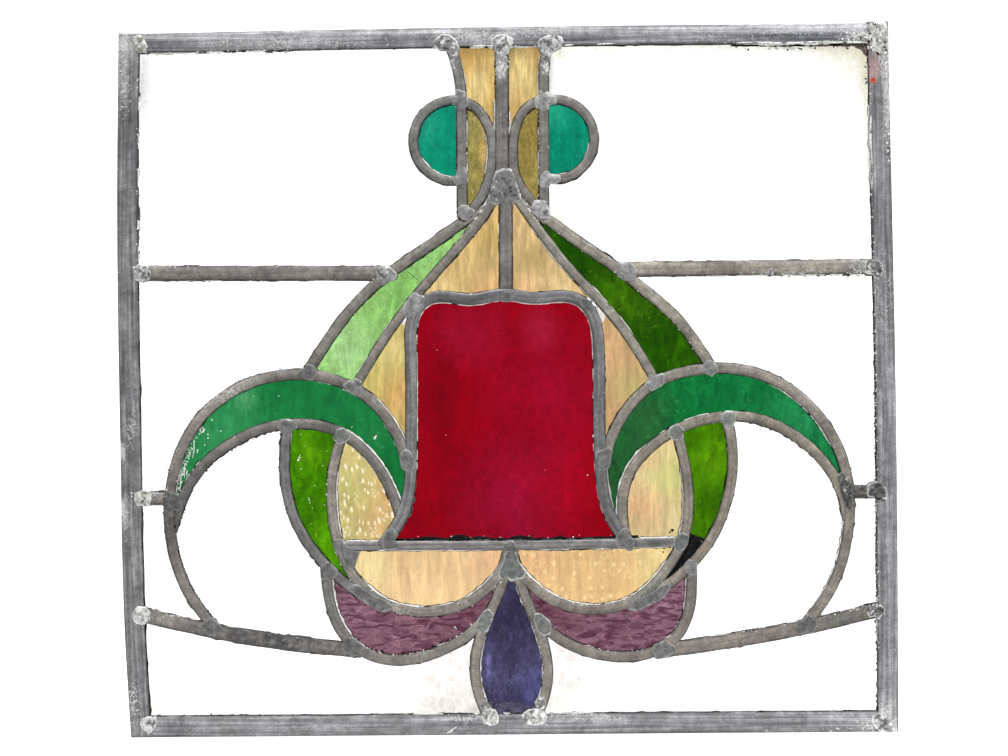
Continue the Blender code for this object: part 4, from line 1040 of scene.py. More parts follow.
# stretches where the cement stands out of the lead in crumbs: line, side, from, to
CRUMBLED = [("leaf_left", -1, 0.04, 0.85), ("inner_arch_left", 1, 0.42, 0.97), ("slope_left", 1, 0.42, 0.86),
            ("outer_arch_left", -1, 0.70, 0.86), ("inner_arch_right", -1, 0.50, 0.80), ("cross_right", -1, 0.45, 0.97),
            ("cross_left", -1, 0.03, 0.30), ("border_top", -1, 0.03, 0.22), ("border_top", -1, 0.80, 0.985),
            ("border_right", 1, 0.06, 0.16), ("border_left", -1, 0.68, 0.93), ("surround", -1, 0.02, 0.12)]


def crumbled(s, end, line, side, face):
    u = s / end
    on = np.zeros(len(s), bool)
    for name, sd, t0, t1 in CRUMBLED:
        if name == line and sd == side:
            on |= (u > t0) & (u < t1)
    return on


inner = [l for l in LINES if not l.startswith("border")]
outer = ["border_left", "border_right", "border_top", "border_bottom"]
v, f = ribbon(inner, 4000, 0.26, 1.1, -0.05, 0.85, None, (-1,), 0.95)
add(mesh_object("cement_line_inner_cames_front", v, f, CEMENT), "cement")
v, f = ribbon(inner, 4000, 0.20, 1.1, -0.05, 0.75, None, (1,), 2.4)
add(mesh_object("cement_line_inner_cames_back", v, f, CEMENT), "cement")
v, f = ribbon(outer, 4700, 0.26, 1.3, 0.0, 0.9, glass_side, (-1,), 1.3)
add(mesh_object("cement_line_border_cames_front", v, f, CEMENT), "cement")
v, f = ribbon(outer, 4700, 0.26, 1.3, 0.0, 0.9, glass_side, (1,), 2.6)
add(mesh_object("cement_line_border_cames_back", v, f, CEMENT), "cement")
v, f = ribbon(sorted({c[0] for c in CRUMBLED}), 5100, 0.40, 0.5, 0.0, 1.4, crumbled, (-1,), 0.6, 1.0)
add(mesh_object("cement_crumbs_beside_cames", v, f, CEMENT_GREY), "cement")


# Pale lines beside the leaves' edges: whiting dried there, and painted highlights where the cut edge of the glass
# catches the light: line, side (1 is on the left hand going along the line), from and to as shares of its length, width
# in mm, how unbroken
BRIGHT = [
    ("centre_upper", -1, 0.42, 0.97, 0.30, 0.9), ("centre_upper", 1, 0.60, 0.97, 0.30, 0.8),
    ("centre_upper", 1, 0.02, 0.30, 0.12, 0.4), ("centre_lower", -1, 0.25, 0.75, 0.10, 0.5),
    ("stem_left", 1, 0.46, 0.82, 0.20, 0.8), ("stem_left", 1, 0.08, 0.30, 0.12, 0.4),
    ("stem_right", -1, 0.50, 0.90, 0.14, 0.6), ("stem_right", -1, 0.10, 0.40, 0.14, 0.5),
    ("ring_left", -1, 0.02, 0.20, 0.16, 0.8), ("ring_left", -1, 0.66, 0.84, 0.20, 0.9),
    ("ring_right", 1, 0.00, 0.10, 0.16, 0.7), ("ring_right", 1, 0.17, 0.26, 0.22, 0.8),
    ("blade_inner_left", -1, 0.02, 0.25, 0.34, 0.9), ("blade_inner_left", 1, 0.12, 0.24, 0.14, 0.6),
    ("blade_inner_left", -1, 0.55, 0.95, 0.10, 0.4),
    ("blade_inner_right", 1, 0.02, 0.16, 0.26, 0.7), ("blade_inner_right", -1, 0.18, 0.60, 0.22, 0.85),
    ("blade_inner_right", 1, 0.52, 0.80, 0.16, 0.6),
    ("surround", -1, 0.04, 0.96, 0.10, 0.5), ("surround", -1, 0.30, 0.68, 0.14, 0.5),
    ("surround", 1, 0.86, 0.97, 0.18, 0.8),
    ("outer_arch_left", -1, 0.03, 0.18, 0.20, 0.8), ("outer_arch_left", 1, 0.04, 0.30, 0.10, 0.5),
    ("outer_arch_left", 1, 0.62, 0.80, 0.20, 0.7), ("outer_arch_right", -1, 0.70, 0.97, 0.22, 0.8),
    ("outer_arch_right", -1, 0.42, 0.52, 0.14, 0.6), ("outer_arch_right", -1, 0.48, 0.62, 0.24, 0.8),
    ("inner_arch_left", -1, 0.02, 0.34, 0.26, 0.85), ("inner_arch_left", 1, 0.02, 0.24, 0.12, 0.5),
    ("inner_arch_left", -1, 0.76, 0.96, 0.30, 0.6),
    ("inner_arch_right", 1, 0.04, 0.28, 0.28, 0.85), ("inner_arch_right", 1, 0.30, 0.55, 0.10, 0.4),
    ("cup_left", 1, 0.10, 0.32, 0.22, 0.85), ("cup_left", 1, 0.44, 0.96, 0.26, 0.85),
    ("cup_right", -1, 0.10, 0.34, 0.20, 0.8), ("cup_right", -1, 0.40, 0.97, 0.28, 0.9),
    ("base_bar", 1, 0.00, 0.15, 0.24, 0.9), ("base_bar", 1, 0.86, 0.99, 0.20, 0.8),
    ("base_bar", -1, 0.10, 0.46, 0.12, 0.6), ("base_bar", -1, 0.54, 0.97, 0.12, 0.6),
    ("leaf_left", 1, 0.02, 0.10, 0.26, 0.8), ("leaf_right", -1, 0.02, 0.20, 0.12, 0.5),
    ("petal_left", 1, 0.03, 0.34, 0.42, 0.95), ("petal_left", 1, 0.30, 0.90, 0.10, 0.4),
    ("petal_right", -1, 0.02, 0.22, 0.16, 0.7), ("petal_right", -1, 0.30, 0.90, 0.10, 0.4),
    ("drop_left", 1, 0.42, 0.92, 0.20, 0.85), ("drop_left", -1, 0.12, 0.22, 0.26, 0.8),
    ("drop_right", -1, 0.10, 0.90, 0.16, 0.6), ("drop_right", 1, 0.10, 0.24, 0.20, 0.7),
    ("cross_left", -1, 0.05, 0.80, 0.12, 0.3), ("cross_right", -1, 0.30, 0.98, 0.30, 0.45),
    ("border_top", -1, 0.40, 0.56, 0.36, 0.55), ("border_top", -1, 0.03, 0.20, 0.50, 0.45),
    ("border_top", -1, 0.80, 0.955, 0.34, 0.95), ("border_right", 1, 0.76, 0.90, 0.26, 0.75),
    ("border_bottom", 1, 0.34, 0.62, 0.26, 0.45), ("border_right", 1, 0.10, 0.35, 0.30, 0.35),
    ("border_left", -1, 0.66, 0.94, 0.40, 0.35), ("slope_left", 1, 0.05, 0.6, 0.12, 0.35),
    ("slope_right", 1, 0.2, 0.9, 0.14, 0.4), ("stub_left", -1, 0.2, 0.9, 0.2, 0.5),
]


def edge_lines(faces_of_panel, share_scale, seed, dark=False, step=0.6):
    verts, faces, off = [], [], 0
    for li, (line, side, t0, t1, wide, share) in enumerate(BRIGHT):
        if dark and share < 0.6:
            continue
        p, s = resample(PATH[line], step * MM)
        t = np.gradient(p, axis=0)
        t /= np.linalg.norm(t, axis=1)[:, None]
        nrm = np.stack([-t[:, 1], t[:, 0]], 1) * side
        u = s / s[-1]
        ok = (u >= t0) & (u <= t1)
        p, nrm, s, u = p[ok], nrm[ok], s[ok], u[ok]
        if len(p) < 4:
            continue
        h = HALF[line]
        gate = 0.5 + 0.8 * rough(s, 0 * s, 0.0065, seed + 3 * li, 3)
        w = (0.10 + 2.0 * wide) * MM * (0.75 + 0.7 * rough(s, 0 * s, 0.003, seed + 5 * li, 2))
        w = w * np.clip((share * share_scale + 0.08 - gate) / 0.10 + 0.5, -1, 1)
        w = np.maximum(w * smooth((u - t0) / 0.03) * smooth((t1 - u) / 0.03), -0.3 * MM) - 0.02 * MM
        on = w > 0.03 * MM
        if dark:
            w = np.maximum(w, 0.05 * MM)
            e = w + MM * np.clip(0.26 + 0.30 * rough(s, 0 * s, 0.008, seed + 9 * li + 4, 3)
                                 + 0.5 * np.clip(noise(s, 0 * s, 0.0022, seed + 2 * li) - 0.35, 0, 1), 0.0, 1.0)
            on = (e - w) > 0.05 * MM
        for face in faces_of_panel:
            if dark:
                sec = [(w - 0.2 * MM + h, 1.16), (h + e, 1.16), (h + 0.4 * w + 0.6 * e, 1.34), (h + w - 0.2 * MM, 1.40)]
            else:
                sec = [(h - 0.45 * MM + 0 * w, 1.30), (h + w, 1.30), (h + w, 1.55), (h - 0.05 * MM + 0 * w, 1.95),
                       (h - 0.45 * MM + 0 * w, 2.05)]
            v = np.stack([np.stack([p[:, 0] + nrm[:, 0] * a, np.full(len(p), face * b * MM),
                                    p[:, 1] + nrm[:, 1] * a], 1) for a, b in sec], 1)
            m = len(sec)
            for run in np.split(np.where(on)[0], np.where(np.diff(np.where(on)[0]) > 1)[0] + 1):
                if len(run) < 2:
                    continue
                k = len(run)
                verts.append(v[run].reshape(-1, 3))
                for i in range(k - 1):
                    for j in range(m):
                        jj = (j + 1) % m
                        faces.append((off + m * i + j, off + m * i + jj, off + m * i + m + jj, off + m * i + m + j))
                faces.append(tuple(off + j for j in range(m)))
                faces.append(tuple(off + m * (k - 1) + j for j in range(m))[::-1])
                off += m * k
    return np.concatenate(verts), faces


# the pale lines, in chalk: dried whiting, and painted highlights along the glass's cut edges
v, f = edge_lines((-1,), 1.0, 6000)
add(mesh_object("whiting_and_glint_lines_front", v, f, CHALK), "cement")
v, f = edge_lines((-1,), 1.0, 6000, True)
add(mesh_object("cement_beside_whiting_front", v, f, CEMENT), "cement")
v, f = edge_lines((1,), 0.6, 6900, False, 1.2)
add(mesh_object("whiting_and_glint_lines_back", v, f, CHALK), "cement")


def over_bar(s, end, line, side, face):
    u = s / end
    return (u > 0.15) & (u < 0.87) & (side == 1)


v, f = ribbon(["base_bar"], 7300, 2.3, 0.8, 1.2, 3.0, over_bar, (-1,), 0.8, 0.8, 0.4)
add(mesh_object("cement_line_over_base_bar", v, f, CEMENT), "cement")
v, f = ribbon(["base_bar"], 7400, 0.7, 0.9, -0.2, 1.6, over_bar, (-1,), 0.6, 0.9, 1.2)
v[:, 1] = np.where(v[:, 1] < -1.5 * MM, v[:, 1] - 0.45 * MM, v[:, 1] - 0.15 * MM)
add(mesh_object("cement_crumbs_over_base_bar", v, f, CEMENT_GREY), "cement")


# ---------------------------------------------------------------------- glass
COARSE = {k: v[::5] for k, v in PATH.items()}


def gap_to_lead(x, z):
    """How far inside the visible glass each point is, in metres."""
    pts = np.stack([x, z], 1)
    lo, hi = pts.min(0) - 0.01, pts.max(0) + 0.01
    out = np.full(len(pts), 0.05)
    for line, c in COARSE.items():
        if (c.max(0) < lo).any() or (c.min(0) > hi).any():
            continue
        for i in range(0, len(pts), 3000):
            d = np.sqrt(((pts[i:i + 3000, None] - c[None]) ** 2).sum(-1).min(1)) - HALF[line]
            out[i:i + 3000] = np.minimum(out[i:i + 3000], d)
    return out


def outline_of(node):
    """The pane's outline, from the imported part's own front face."""
    bm = bmesh.new()
    bm.from_mesh(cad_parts[node].data)
    bmesh.ops.remove_doubles(bm, verts=bm.verts, dist=2e-6)
    front = {f for f in bm.faces if f.normal.y < -0.9}
    links = {}
    for e in bm.edges:
        if sum(1 for f in e.link_faces if f in front) == 1 and any(f in front for f in e.link_faces):
            a, b = e.verts
            links.setdefault(a, []).append(b)
            links.setdefault(b, []).append(a)
    loops, seen = [], set()
    for start in links:
        if start in seen:
            continue
        loop, at, last = [start], start, None
        seen.add(start)
        while True:
            nxt = [b for b in links[at] if b is not last and b not in seen]
            if not nxt:
                break
            last, at = at, nxt[0]
            seen.add(at)
            loop.append(at)
        loops.append([(q.co.x, q.co.z) for q in loop])
    bm.free()
    return np.array(max(loops, key=len))


def inside(px, pz, poly):
    odd = np.zeros(px.shape, bool)
    for (x1, z1), (x2, z2) in zip(poly, np.roll(poly, -1, 0)):
        cross = (z1 > pz) != (z2 > pz)
        if abs(z2 - z1) < 1e-12:
            continue
        odd ^= cross & (px < (x2 - x1) * (pz - z1) / (z2 - z1) + x1)
    return odd


def onto(pts, poly):
    """The nearest point of the outline to each point."""
    a, b = poly, np.roll(poly, -1, 0)
    e = b - a
    t = np.clip(((pts[:, None] - a[None]) * e[None]).sum(-1) / np.maximum((e ** 2).sum(-1), 1e-16)[None], 0, 1)
    q = a[None] + e[None] * t[..., None]
    d = ((pts[:, None] - q) ** 2).sum(-1)
    return q[np.arange(len(pts)), d.argmin(1)]


def pane(node, cell, relief, mat, slot, name=None, thick=SHEET):
    poly = outline_of(node)
    lo, hi = poly.min(0) - cell, poly.max(0) + cell
    xs, zs = np.arange(lo[0], hi[0] + cell, cell), np.arange(lo[1], hi[1] + cell, cell)
    X, Z = np.meshgrid(xs, zs, indexing="ij")
    ok = inside(X, Z, poly)
    full = ok[:-1, :-1] & ok[1:, :-1] & ok[:-1, 1:] & ok[1:, 1:]
    # cells that hang on by a corner are dropped, so that the rim is one clean loop
    for _ in range(3):
        around = np.zeros(full.shape, int)
        pad = np.pad(full, 1)
        around = pad[2:, 1:-1].astype(int) + pad[:-2, 1:-1] + pad[1:-1, 2:] + pad[1:-1, :-2]
        full &= around >= 2
    ids = -np.ones(X.shape, int)
    used = np.zeros(X.shape, bool)
    used[:-1, :-1] |= full; used[1:, :-1] |= full; used[:-1, 1:] |= full; used[1:, 1:] |= full
    ids[used] = np.arange(used.sum())
    x, z = X[used].copy(), Z[used].copy()
    i, j = np.where(full)
    quads = np.stack([ids[i, j], ids[i + 1, j], ids[i + 1, j + 1], ids[i, j + 1]], 1)
    count = {}
    for q in quads:
        for a, b in zip(q, np.roll(q, -1)):
            key = (a, b) if a < b else (b, a)
            count[key] = (count.get(key, (0,))[0] + 1, a, b)
    rimedges = [(a, b) for c, a, b in count.values() if c == 1]
    rim = np.array(sorted({v for e in rimedges for v in e}))
    moved = onto(np.stack([x[rim], z[rim]], 1), poly)
    x[rim], z[rim] = moved[:, 0], moved[:, 1]
    front, back, tone = relief(x, z)
    gap = np.clip(gap_to_lead(x, z) / 0.012, 0, 1)
    soft = np.ones(len(x)); soft[rim] = 0
    n = len(x)
    verts = np.concatenate([np.stack([x, -thick - front * soft, z], 1), np.stack([x, thick + back * soft, z], 1)])
    faces = [tuple(q) for q in quads] + [tuple(q[::-1] + n) for q in quads]
    faces += [(b, a, a + n, b + n) for a, b in rimedges]
    ob = mesh_object(name or node + "_glass", verts, faces, mat, None,
                     {"relief": np.concatenate([tone, tone]), "gap": np.concatenate([gap, gap])})
    return add(ob, slot, node)


def relief(kind, seed, amount=1.0):
    def flat_(x, z):
        h = 0.03 * MM * rough(x, z, 0.012, seed, 2) + 0.012 * MM * rough(x, z, 0.003, seed + 1, 2)
        return h, 0.02 * MM * rough(x, z, 0.015, seed + 3, 2), 0.5 + 0.5 * rough(x, z, 0.006, seed, 3)

    def hammered(x, z):                      # round hollows that meet in ridges
        d, who = cells(x, z, 0.0036, seed)
        h = amount * 0.20 * MM * (np.minimum(d, 0.75) ** 2 - 0.25)
        return h, 0.04 * MM * rough(x, z, 0.01, seed, 2), np.clip(1.25 - 1.5 * np.abs(d - 0.25) - 0.35 * who, 0, 1)

    def broad(x, z):                         # bigger hollows, as in the clear panes
        d, who = cells(x, z, 0.0056, seed)
        h = amount * 0.16 * MM * (np.minimum(d, 0.75) ** 2 - 0.25)
        return h, 0.04 * MM * rough(x, z, 0.01, seed, 2), np.clip((d - 0.22) * 2.2 + 0.5 * who - 0.2, 0, 1)

    def dimples(x, z):                       # short upright strokes and loops that stand out bright
        xt = x + 0.14 * z + 0.0008 * noise(x, z, 0.007, seed + 3)
        zt = z + 0.0008 * noise(x, z, 0.007, seed + 5)
        d, who = cells(xt, zt, 0.0042, seed, (0.58, 1.55))
        r = 0.19 + 0.12 * np.abs(2 * who - 1)
        low = smooth((0.134 - z) / 0.012)                 # the loops lie towards the bottom
        full = np.clip(1.3 - (d / r) ** 2, 0, 1) * (who > 0.30) * (who < 0.86)
        loop = 0.8 * np.exp(-((d - 1.05 * r) / (0.26 * r)) ** 2) * (who >= 0.86) * low
        faint = 0.40 * np.clip(1.2 - (d / r) ** 2, 0, 1) * (who < 0.16)
        inb = full + loop + faint
        return amount * 0.20 * MM * inb, 0.04 * MM * rough(x, z, 0.01, seed, 2), np.clip(0.12 + 0.95 * inb, 0, 1)

    def bubbles(x, z):
        xt = x + 0.0008 * noise(x, z, 0.006, seed + 3)
        d, who = cells(xt, z, 0.0052, seed, (0.9, 1.05))
        r = 0.13 + 0.24 * who
        full = 0.75 * np.clip(1.2 - (d / r) ** 2, 0, 1) * (who > 0.25) * (who < 0.78)
        loop = 0.55 * np.exp(-((d - r) / (0.22 * r)) ** 2) * (who >= 0.78)
        inb = full + loop
        return amount * 0.18 * MM * inb, 0.03 * MM * rough(x, z, 0.01, seed, 2), np.clip(0.12 + 0.9 * inb, 0, 1)

    def ripple(x, z):                        # lens-shaped hollows that meet in paler ridges
        slant = 0.30 if seed % 2 == 0 else 0.12
        xt = x + 0.0016 * noise(x, z, 0.010, seed + 9)
        zt = z - slant * x + 0.0016 * noise(x, z, 0.009, seed + 8)
        d, who = cells(xt, zt, 0.0047, seed, (1.60, 0.74))
        w = rough(xt, zt, 0.004, seed + 4, 3, (1.8, 0.6))
        h = amount * 0.24 * MM * (np.minimum(d, 0.8) ** 2 - 0.3 + 0.25 * w)
        tone = smooth((d - 0.20 - 0.36 * who + 0.34 * w) / 0.26)
        return h, 0.06 * MM * rough(x, z, 0.009, seed, 2), np.clip(0.08 + 0.80 * tone + 0.22 * w, 0, 1)

    def wavy(x, z):
        w = rough(x, z, 0.007, seed, 3, (0.45, 1.9))
        return amount * 0.14 * MM * w, 0.05 * MM * rough(x, z, 0.01, seed + 2, 2), np.clip(0.5 + 0.75 * w, 0, 1)

    return locals()[kind + "_" if kind == "flat" else kind]


BACK = 1.39                 # brightness behind the panel, which the glass colours are set against


def tint(r, g, b):
    return tuple(min(c / BACK / 0.93, 1.0) for c in lin(r, g, b))


def wisps(n, lo, hi, scale, turn=0.0, bend=0.5):
    """Lighter and darker wisps, as a grey multiplier."""
    f = n.grain(scale, 4, None, turn, bend, 0.6)
    return n.ramp(f, [(0.32, (1 - 1.7 * (1 - lo),) * 3), (0.50, (1.0, 1.0, 1.0)), (0.68, (1 + 1.7 * (hi - 1),) * 3)])


def glass_material(name, shade, vary=0.12, scale=(110, 110, 70), streak=None, relief_span=(0.92, 1.08),
                   washes=(), fine=0.10, rough_=0.05, extra=None, raw=False, spec=0.3):
    """Coloured glass: a shade, broad drifts, streaks, the relief's own light and dark, then washes of other shades.
    A wash is (shade, column, row, reach in squares, strength)."""
    n = Net(name)
    base = np.array(shade if raw else tint(*shade))
    f = n.grain(scale, 4, None, 0.0, 0.4)
    col = n.ramp(f, [(0.28, tuple((1 - vary) * base)), (0.50, tuple(base)), (0.72, tuple(np.minimum((1 + vary) * base, 1)))])
    for rgb, column, row, reach, strength, *stretch in washes:
        m = n.mix(n.near(column, row, reach, 0.85, *stretch), n.span(f, 0.35, 0.62, 0.45, 1.0), 1.0, "MULTIPLY")
        k = n.t.nodes.new("ShaderNodeMath")
        k.operation = "MULTIPLY"
        n.t.links.new(m, k.inputs[0])
        k.inputs[1].default_value = strength
        col = n.mix(col, tint(*rgb), k.outputs[0])
    if streak:
        lo, hi, sc, turn, *bend = streak
        col = n.mix(col, wisps(n, lo, hi, sc, turn, *bend), 1.0, "MULTIPLY")
    rel = n.span(n.attr("relief"), 0.0, 1.0, relief_span[0], relief_span[1])
    g = n.span(n.grain((1100, 1100, 1100), 2), 0.3, 0.7, 1 - 0.95 * fine, 1 + 0.95 * fine)
    g2 = n.span(n.grain((330, 330, 210), 3, None, 0.2, 0.8), 0.3, 0.7, 1 - 1.7 * fine, 1 + 1.7 * fine)
    m0 = n.t.nodes.new("ShaderNodeMath")
    m0.operation = "MULTIPLY"
    n.t.links.new(g, m0.inputs[0])
    n.t.links.new(g2, m0.inputs[1])
    m = n.t.nodes.new("ShaderNodeMath")
    m.operation = "MULTIPLY"
    n.t.links.new(rel, m.inputs[0])
    n.t.links.new(m0.outputs[0], m.inputs[1])
    v = n.t.nodes.new("ShaderNodeVectorMath")
    v.operation = "SCALE"
    n.t.links.new(col, v.inputs[0])
    n.t.links.new(m.outputs[0], v.inputs["Scale"])
    col = v.outputs[0]
    if extra:
        col = extra(n, col)
    n.colour(col)
    n.set(Roughness=rough_, IOR=1.52, Specular_IOR_Level=spec)
    n.set(Transmission_Weight=1.0)
    n.bump(n.grain((600, 600, 600), 3), 0.12, 0.0002)
    return n.mat


# painted glints: small pale flecks standing in for light caught on the glass's tiny bumps
def flecks(level, strength, colour=(235, 225, 225), size=520):
    def f(n, col):
        k = n.grain((size, size, 0.7 * size), 2)
        return n.mix(col, tint(*colour), n.span(k, level, level + 0.03, 0.0, strength))
    return f


def strokes(colour, level, strength):
    """A few short upright strokes."""
    def f(n, col):
        k = n.grain((640, 640, 130), 2, None, 0.1)
        return n.mix(col, tint(*colour), n.span(k, level, level + 0.05, 0.0, strength))
    return f


def hollows(colour, strength, turn):
    """Dark hollows lying across the pane, and a few pale flecks of painted glint."""
    def f(n, col):
        k = n.grain((120, 120, 400), 3, None, turn, 0.9, 0.5)
        col = n.mix(col, tint(*colour), n.span(k, 0.505, 0.555, 0.0, strength))
        ridge = n.span(n.maths("ABSOLUTE", n.maths("SUBTRACT", k, 0.485)), 0.0, 0.02, 1.0, 0.0)
        col = n.mix(col, tint(164, 130, 144), n.maths("MULTIPLY", ridge, 0.35))
        return flecks(0.70, 0.5, (190, 160, 172), 520)(n, col)
    return f


def brights(colour, lo=0.55, hi=0.95, strength=0.9):
    """Painted highlights: the raised spots of the relief are coloured pale, as if catching the light."""
    def f(n, col):
        return n.mix(col, tint(*colour), n.span(n.attr("relief"), lo, hi, 0.0, strength))
    return f


def clear_dirt(n, col):
    """Grey and cream against the lead, thinning out into clear glass: old whiting and grime, and in the grey, painted
    shade hugging the lead.
    """
    edge = n.span(n.attr("gap"), 0.0, 0.45, 1.0, 0.0)
    f = n.grain((260, 260, 260), 5, rough_=0.75)
    amount = n.maths("MULTIPLY", edge, n.span(f, 0.50, 0.66, 0.0, 1.0))
    tone = n.ramp(n.grain((45, 45, 45), 2), [(0.42, (0.56, 0.56, 0.54)), (0.58, (0.72, 0.66, 0.48))])
    col = n.mix(col, tone, n.maths("MULTIPLY", amount, 0.45))
    film = n.span(n.grain((420, 420, 300), 4, rough_=0.6), 0.36, 0.62, 0.55, 1.0)
    # washes of grey and cream by the lead and in the corners: grime, and in the grey ones painted shade
    for shade, column, row, reach, strength, *oval in (
            ((0.50, 0.51, 0.51), 142, 82, 66, 1.0, (0.24, 1)), ((0.66, 0.67, 0.67), 170, 430, 46, 0.45, (0.6, 1)), ((0.62, 0.62, 0.60), 170, 49, 40, 0.5, (1, 0.16)),
            ((0.50, 0.47, 0.34), 838, 46, 72, 1.0, (1, 0.24)), ((0.52, 0.50, 0.37), 868, 70, 60, 1.0, (0.26, 1)), ((0.58, 0.56, 0.44), 770, 44, 150, 0.9, (1, 0.07)),
            ((0.60, 0.58, 0.46), 869, 150, 130, 0.8, (0.07, 1)),
            ((0.60, 0.57, 0.42), 862, 52, 56, 0.9), ((0.52, 0.46, 0.40), 474, 710, 12, 0.8, (1, 0.7)), ((0.60, 0.59, 0.52), 700, 44, 150, 0.7, (1, 0.07)), ((0.58, 0.57, 0.48), 560, 52, 24, 0.8),
            ((0.40, 0.40, 0.36), 549, 80, 50, 1.0, (0.15, 1)), ((0.58, 0.58, 0.50), 556, 228, 34, 0.8, (0.4, 1)),
            ((0.70, 0.70, 0.62), 556, 224, 34, 0.5, (0.25, 1)), ((0.66, 0.64, 0.50), 600, 49, 46, 0.7, (1, 0.12)),
            ((0.72, 0.68, 0.48), 156, 708, 16, 0.7), ((0.72, 0.66, 0.50), 872, 706, 14, 0.75),
            ((0.70, 0.68, 0.56), 810, 711, 60, 0.5, (1, 0.08)), ((0.72, 0.70, 0.56), 866, 282, 14, 0.6),
            ((0.72, 0.70, 0.56), 862, 500, 12, 0.4), ((0.76, 0.79, 0.74), 236, 470, 60, 0.45, (0.25, 1)),
            ((0.66, 0.60, 0.52), 152, 628, 9, 0.6), ((0.70, 0.71, 0.68), 182, 440, 40, 0.3, (0.5, 1))):
        w = n.maths("MULTIPLY", n.near(column, row, reach, 1.0, *oval), film)
        col = n.mix(col, shade, n.maths("MULTIPLY", w, strength))
    return col


def drop_blotches(n, col):
    """The hammered clear glass beside the drop: rounded hollows, faintly pink above and cream below."""
    where = n.maths("ADD", n.near(456, 672, 72, 0.85), n.near(560, 672, 48, 0.85))
    where = n.maths("MINIMUM", n.maths("MULTIPLY", where, 1.4), 1.0)
    ridge = n.scattered((200, 200, 170), "DISTANCE_TO_EDGE").outputs["Distance"]
    each = n.t.nodes.new("ShaderNodeSeparateColor")
    n.t.links.new(n.scattered((200, 200, 170)).outputs["Color"], each.inputs[0])
    hollow = n.maths("MULTIPLY", n.span(ridge, 0.02, 0.12, 0.40, 1.0), n.span(each.outputs[0], 0.05, 0.9, 0.42, 0.80))
    height = n.span(n.axis("Z"), 0.015, 0.035, 0.0, 1.0)
    tone = n.mix((0.58, 0.53, 0.44), (0.44, 0.365, 0.355), height)
    k = n.maths("MULTIPLY", n.maths("MULTIPLY", hollow, where), 0.95)
    return clear_dirt(n, n.mix(col, tone, k))


clear = glass_material("glass_clear", (0.97, 0.98, 0.97), 0.02, fine=0.01, relief_span=(0.98, 1.02), rough_=0.02,
                       extra=clear_dirt, raw=True)
clear_low = glass_material("glass_clear_hammered", (0.97, 0.98, 0.97), 0.02, fine=0.01, relief_span=(0.98, 1.02),
                           rough_=0.02, extra=drop_blotches, raw=True)
for k, node in enumerate(sorted(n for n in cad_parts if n.startswith("clear_pane"))):
    low = "bottom" in node
    pane(node, 1.3 * MM if low else 1.7 * MM, relief("broad", 60 + k, 0.8 if low else 0.35),
         clear_low if low else clear, "clear")

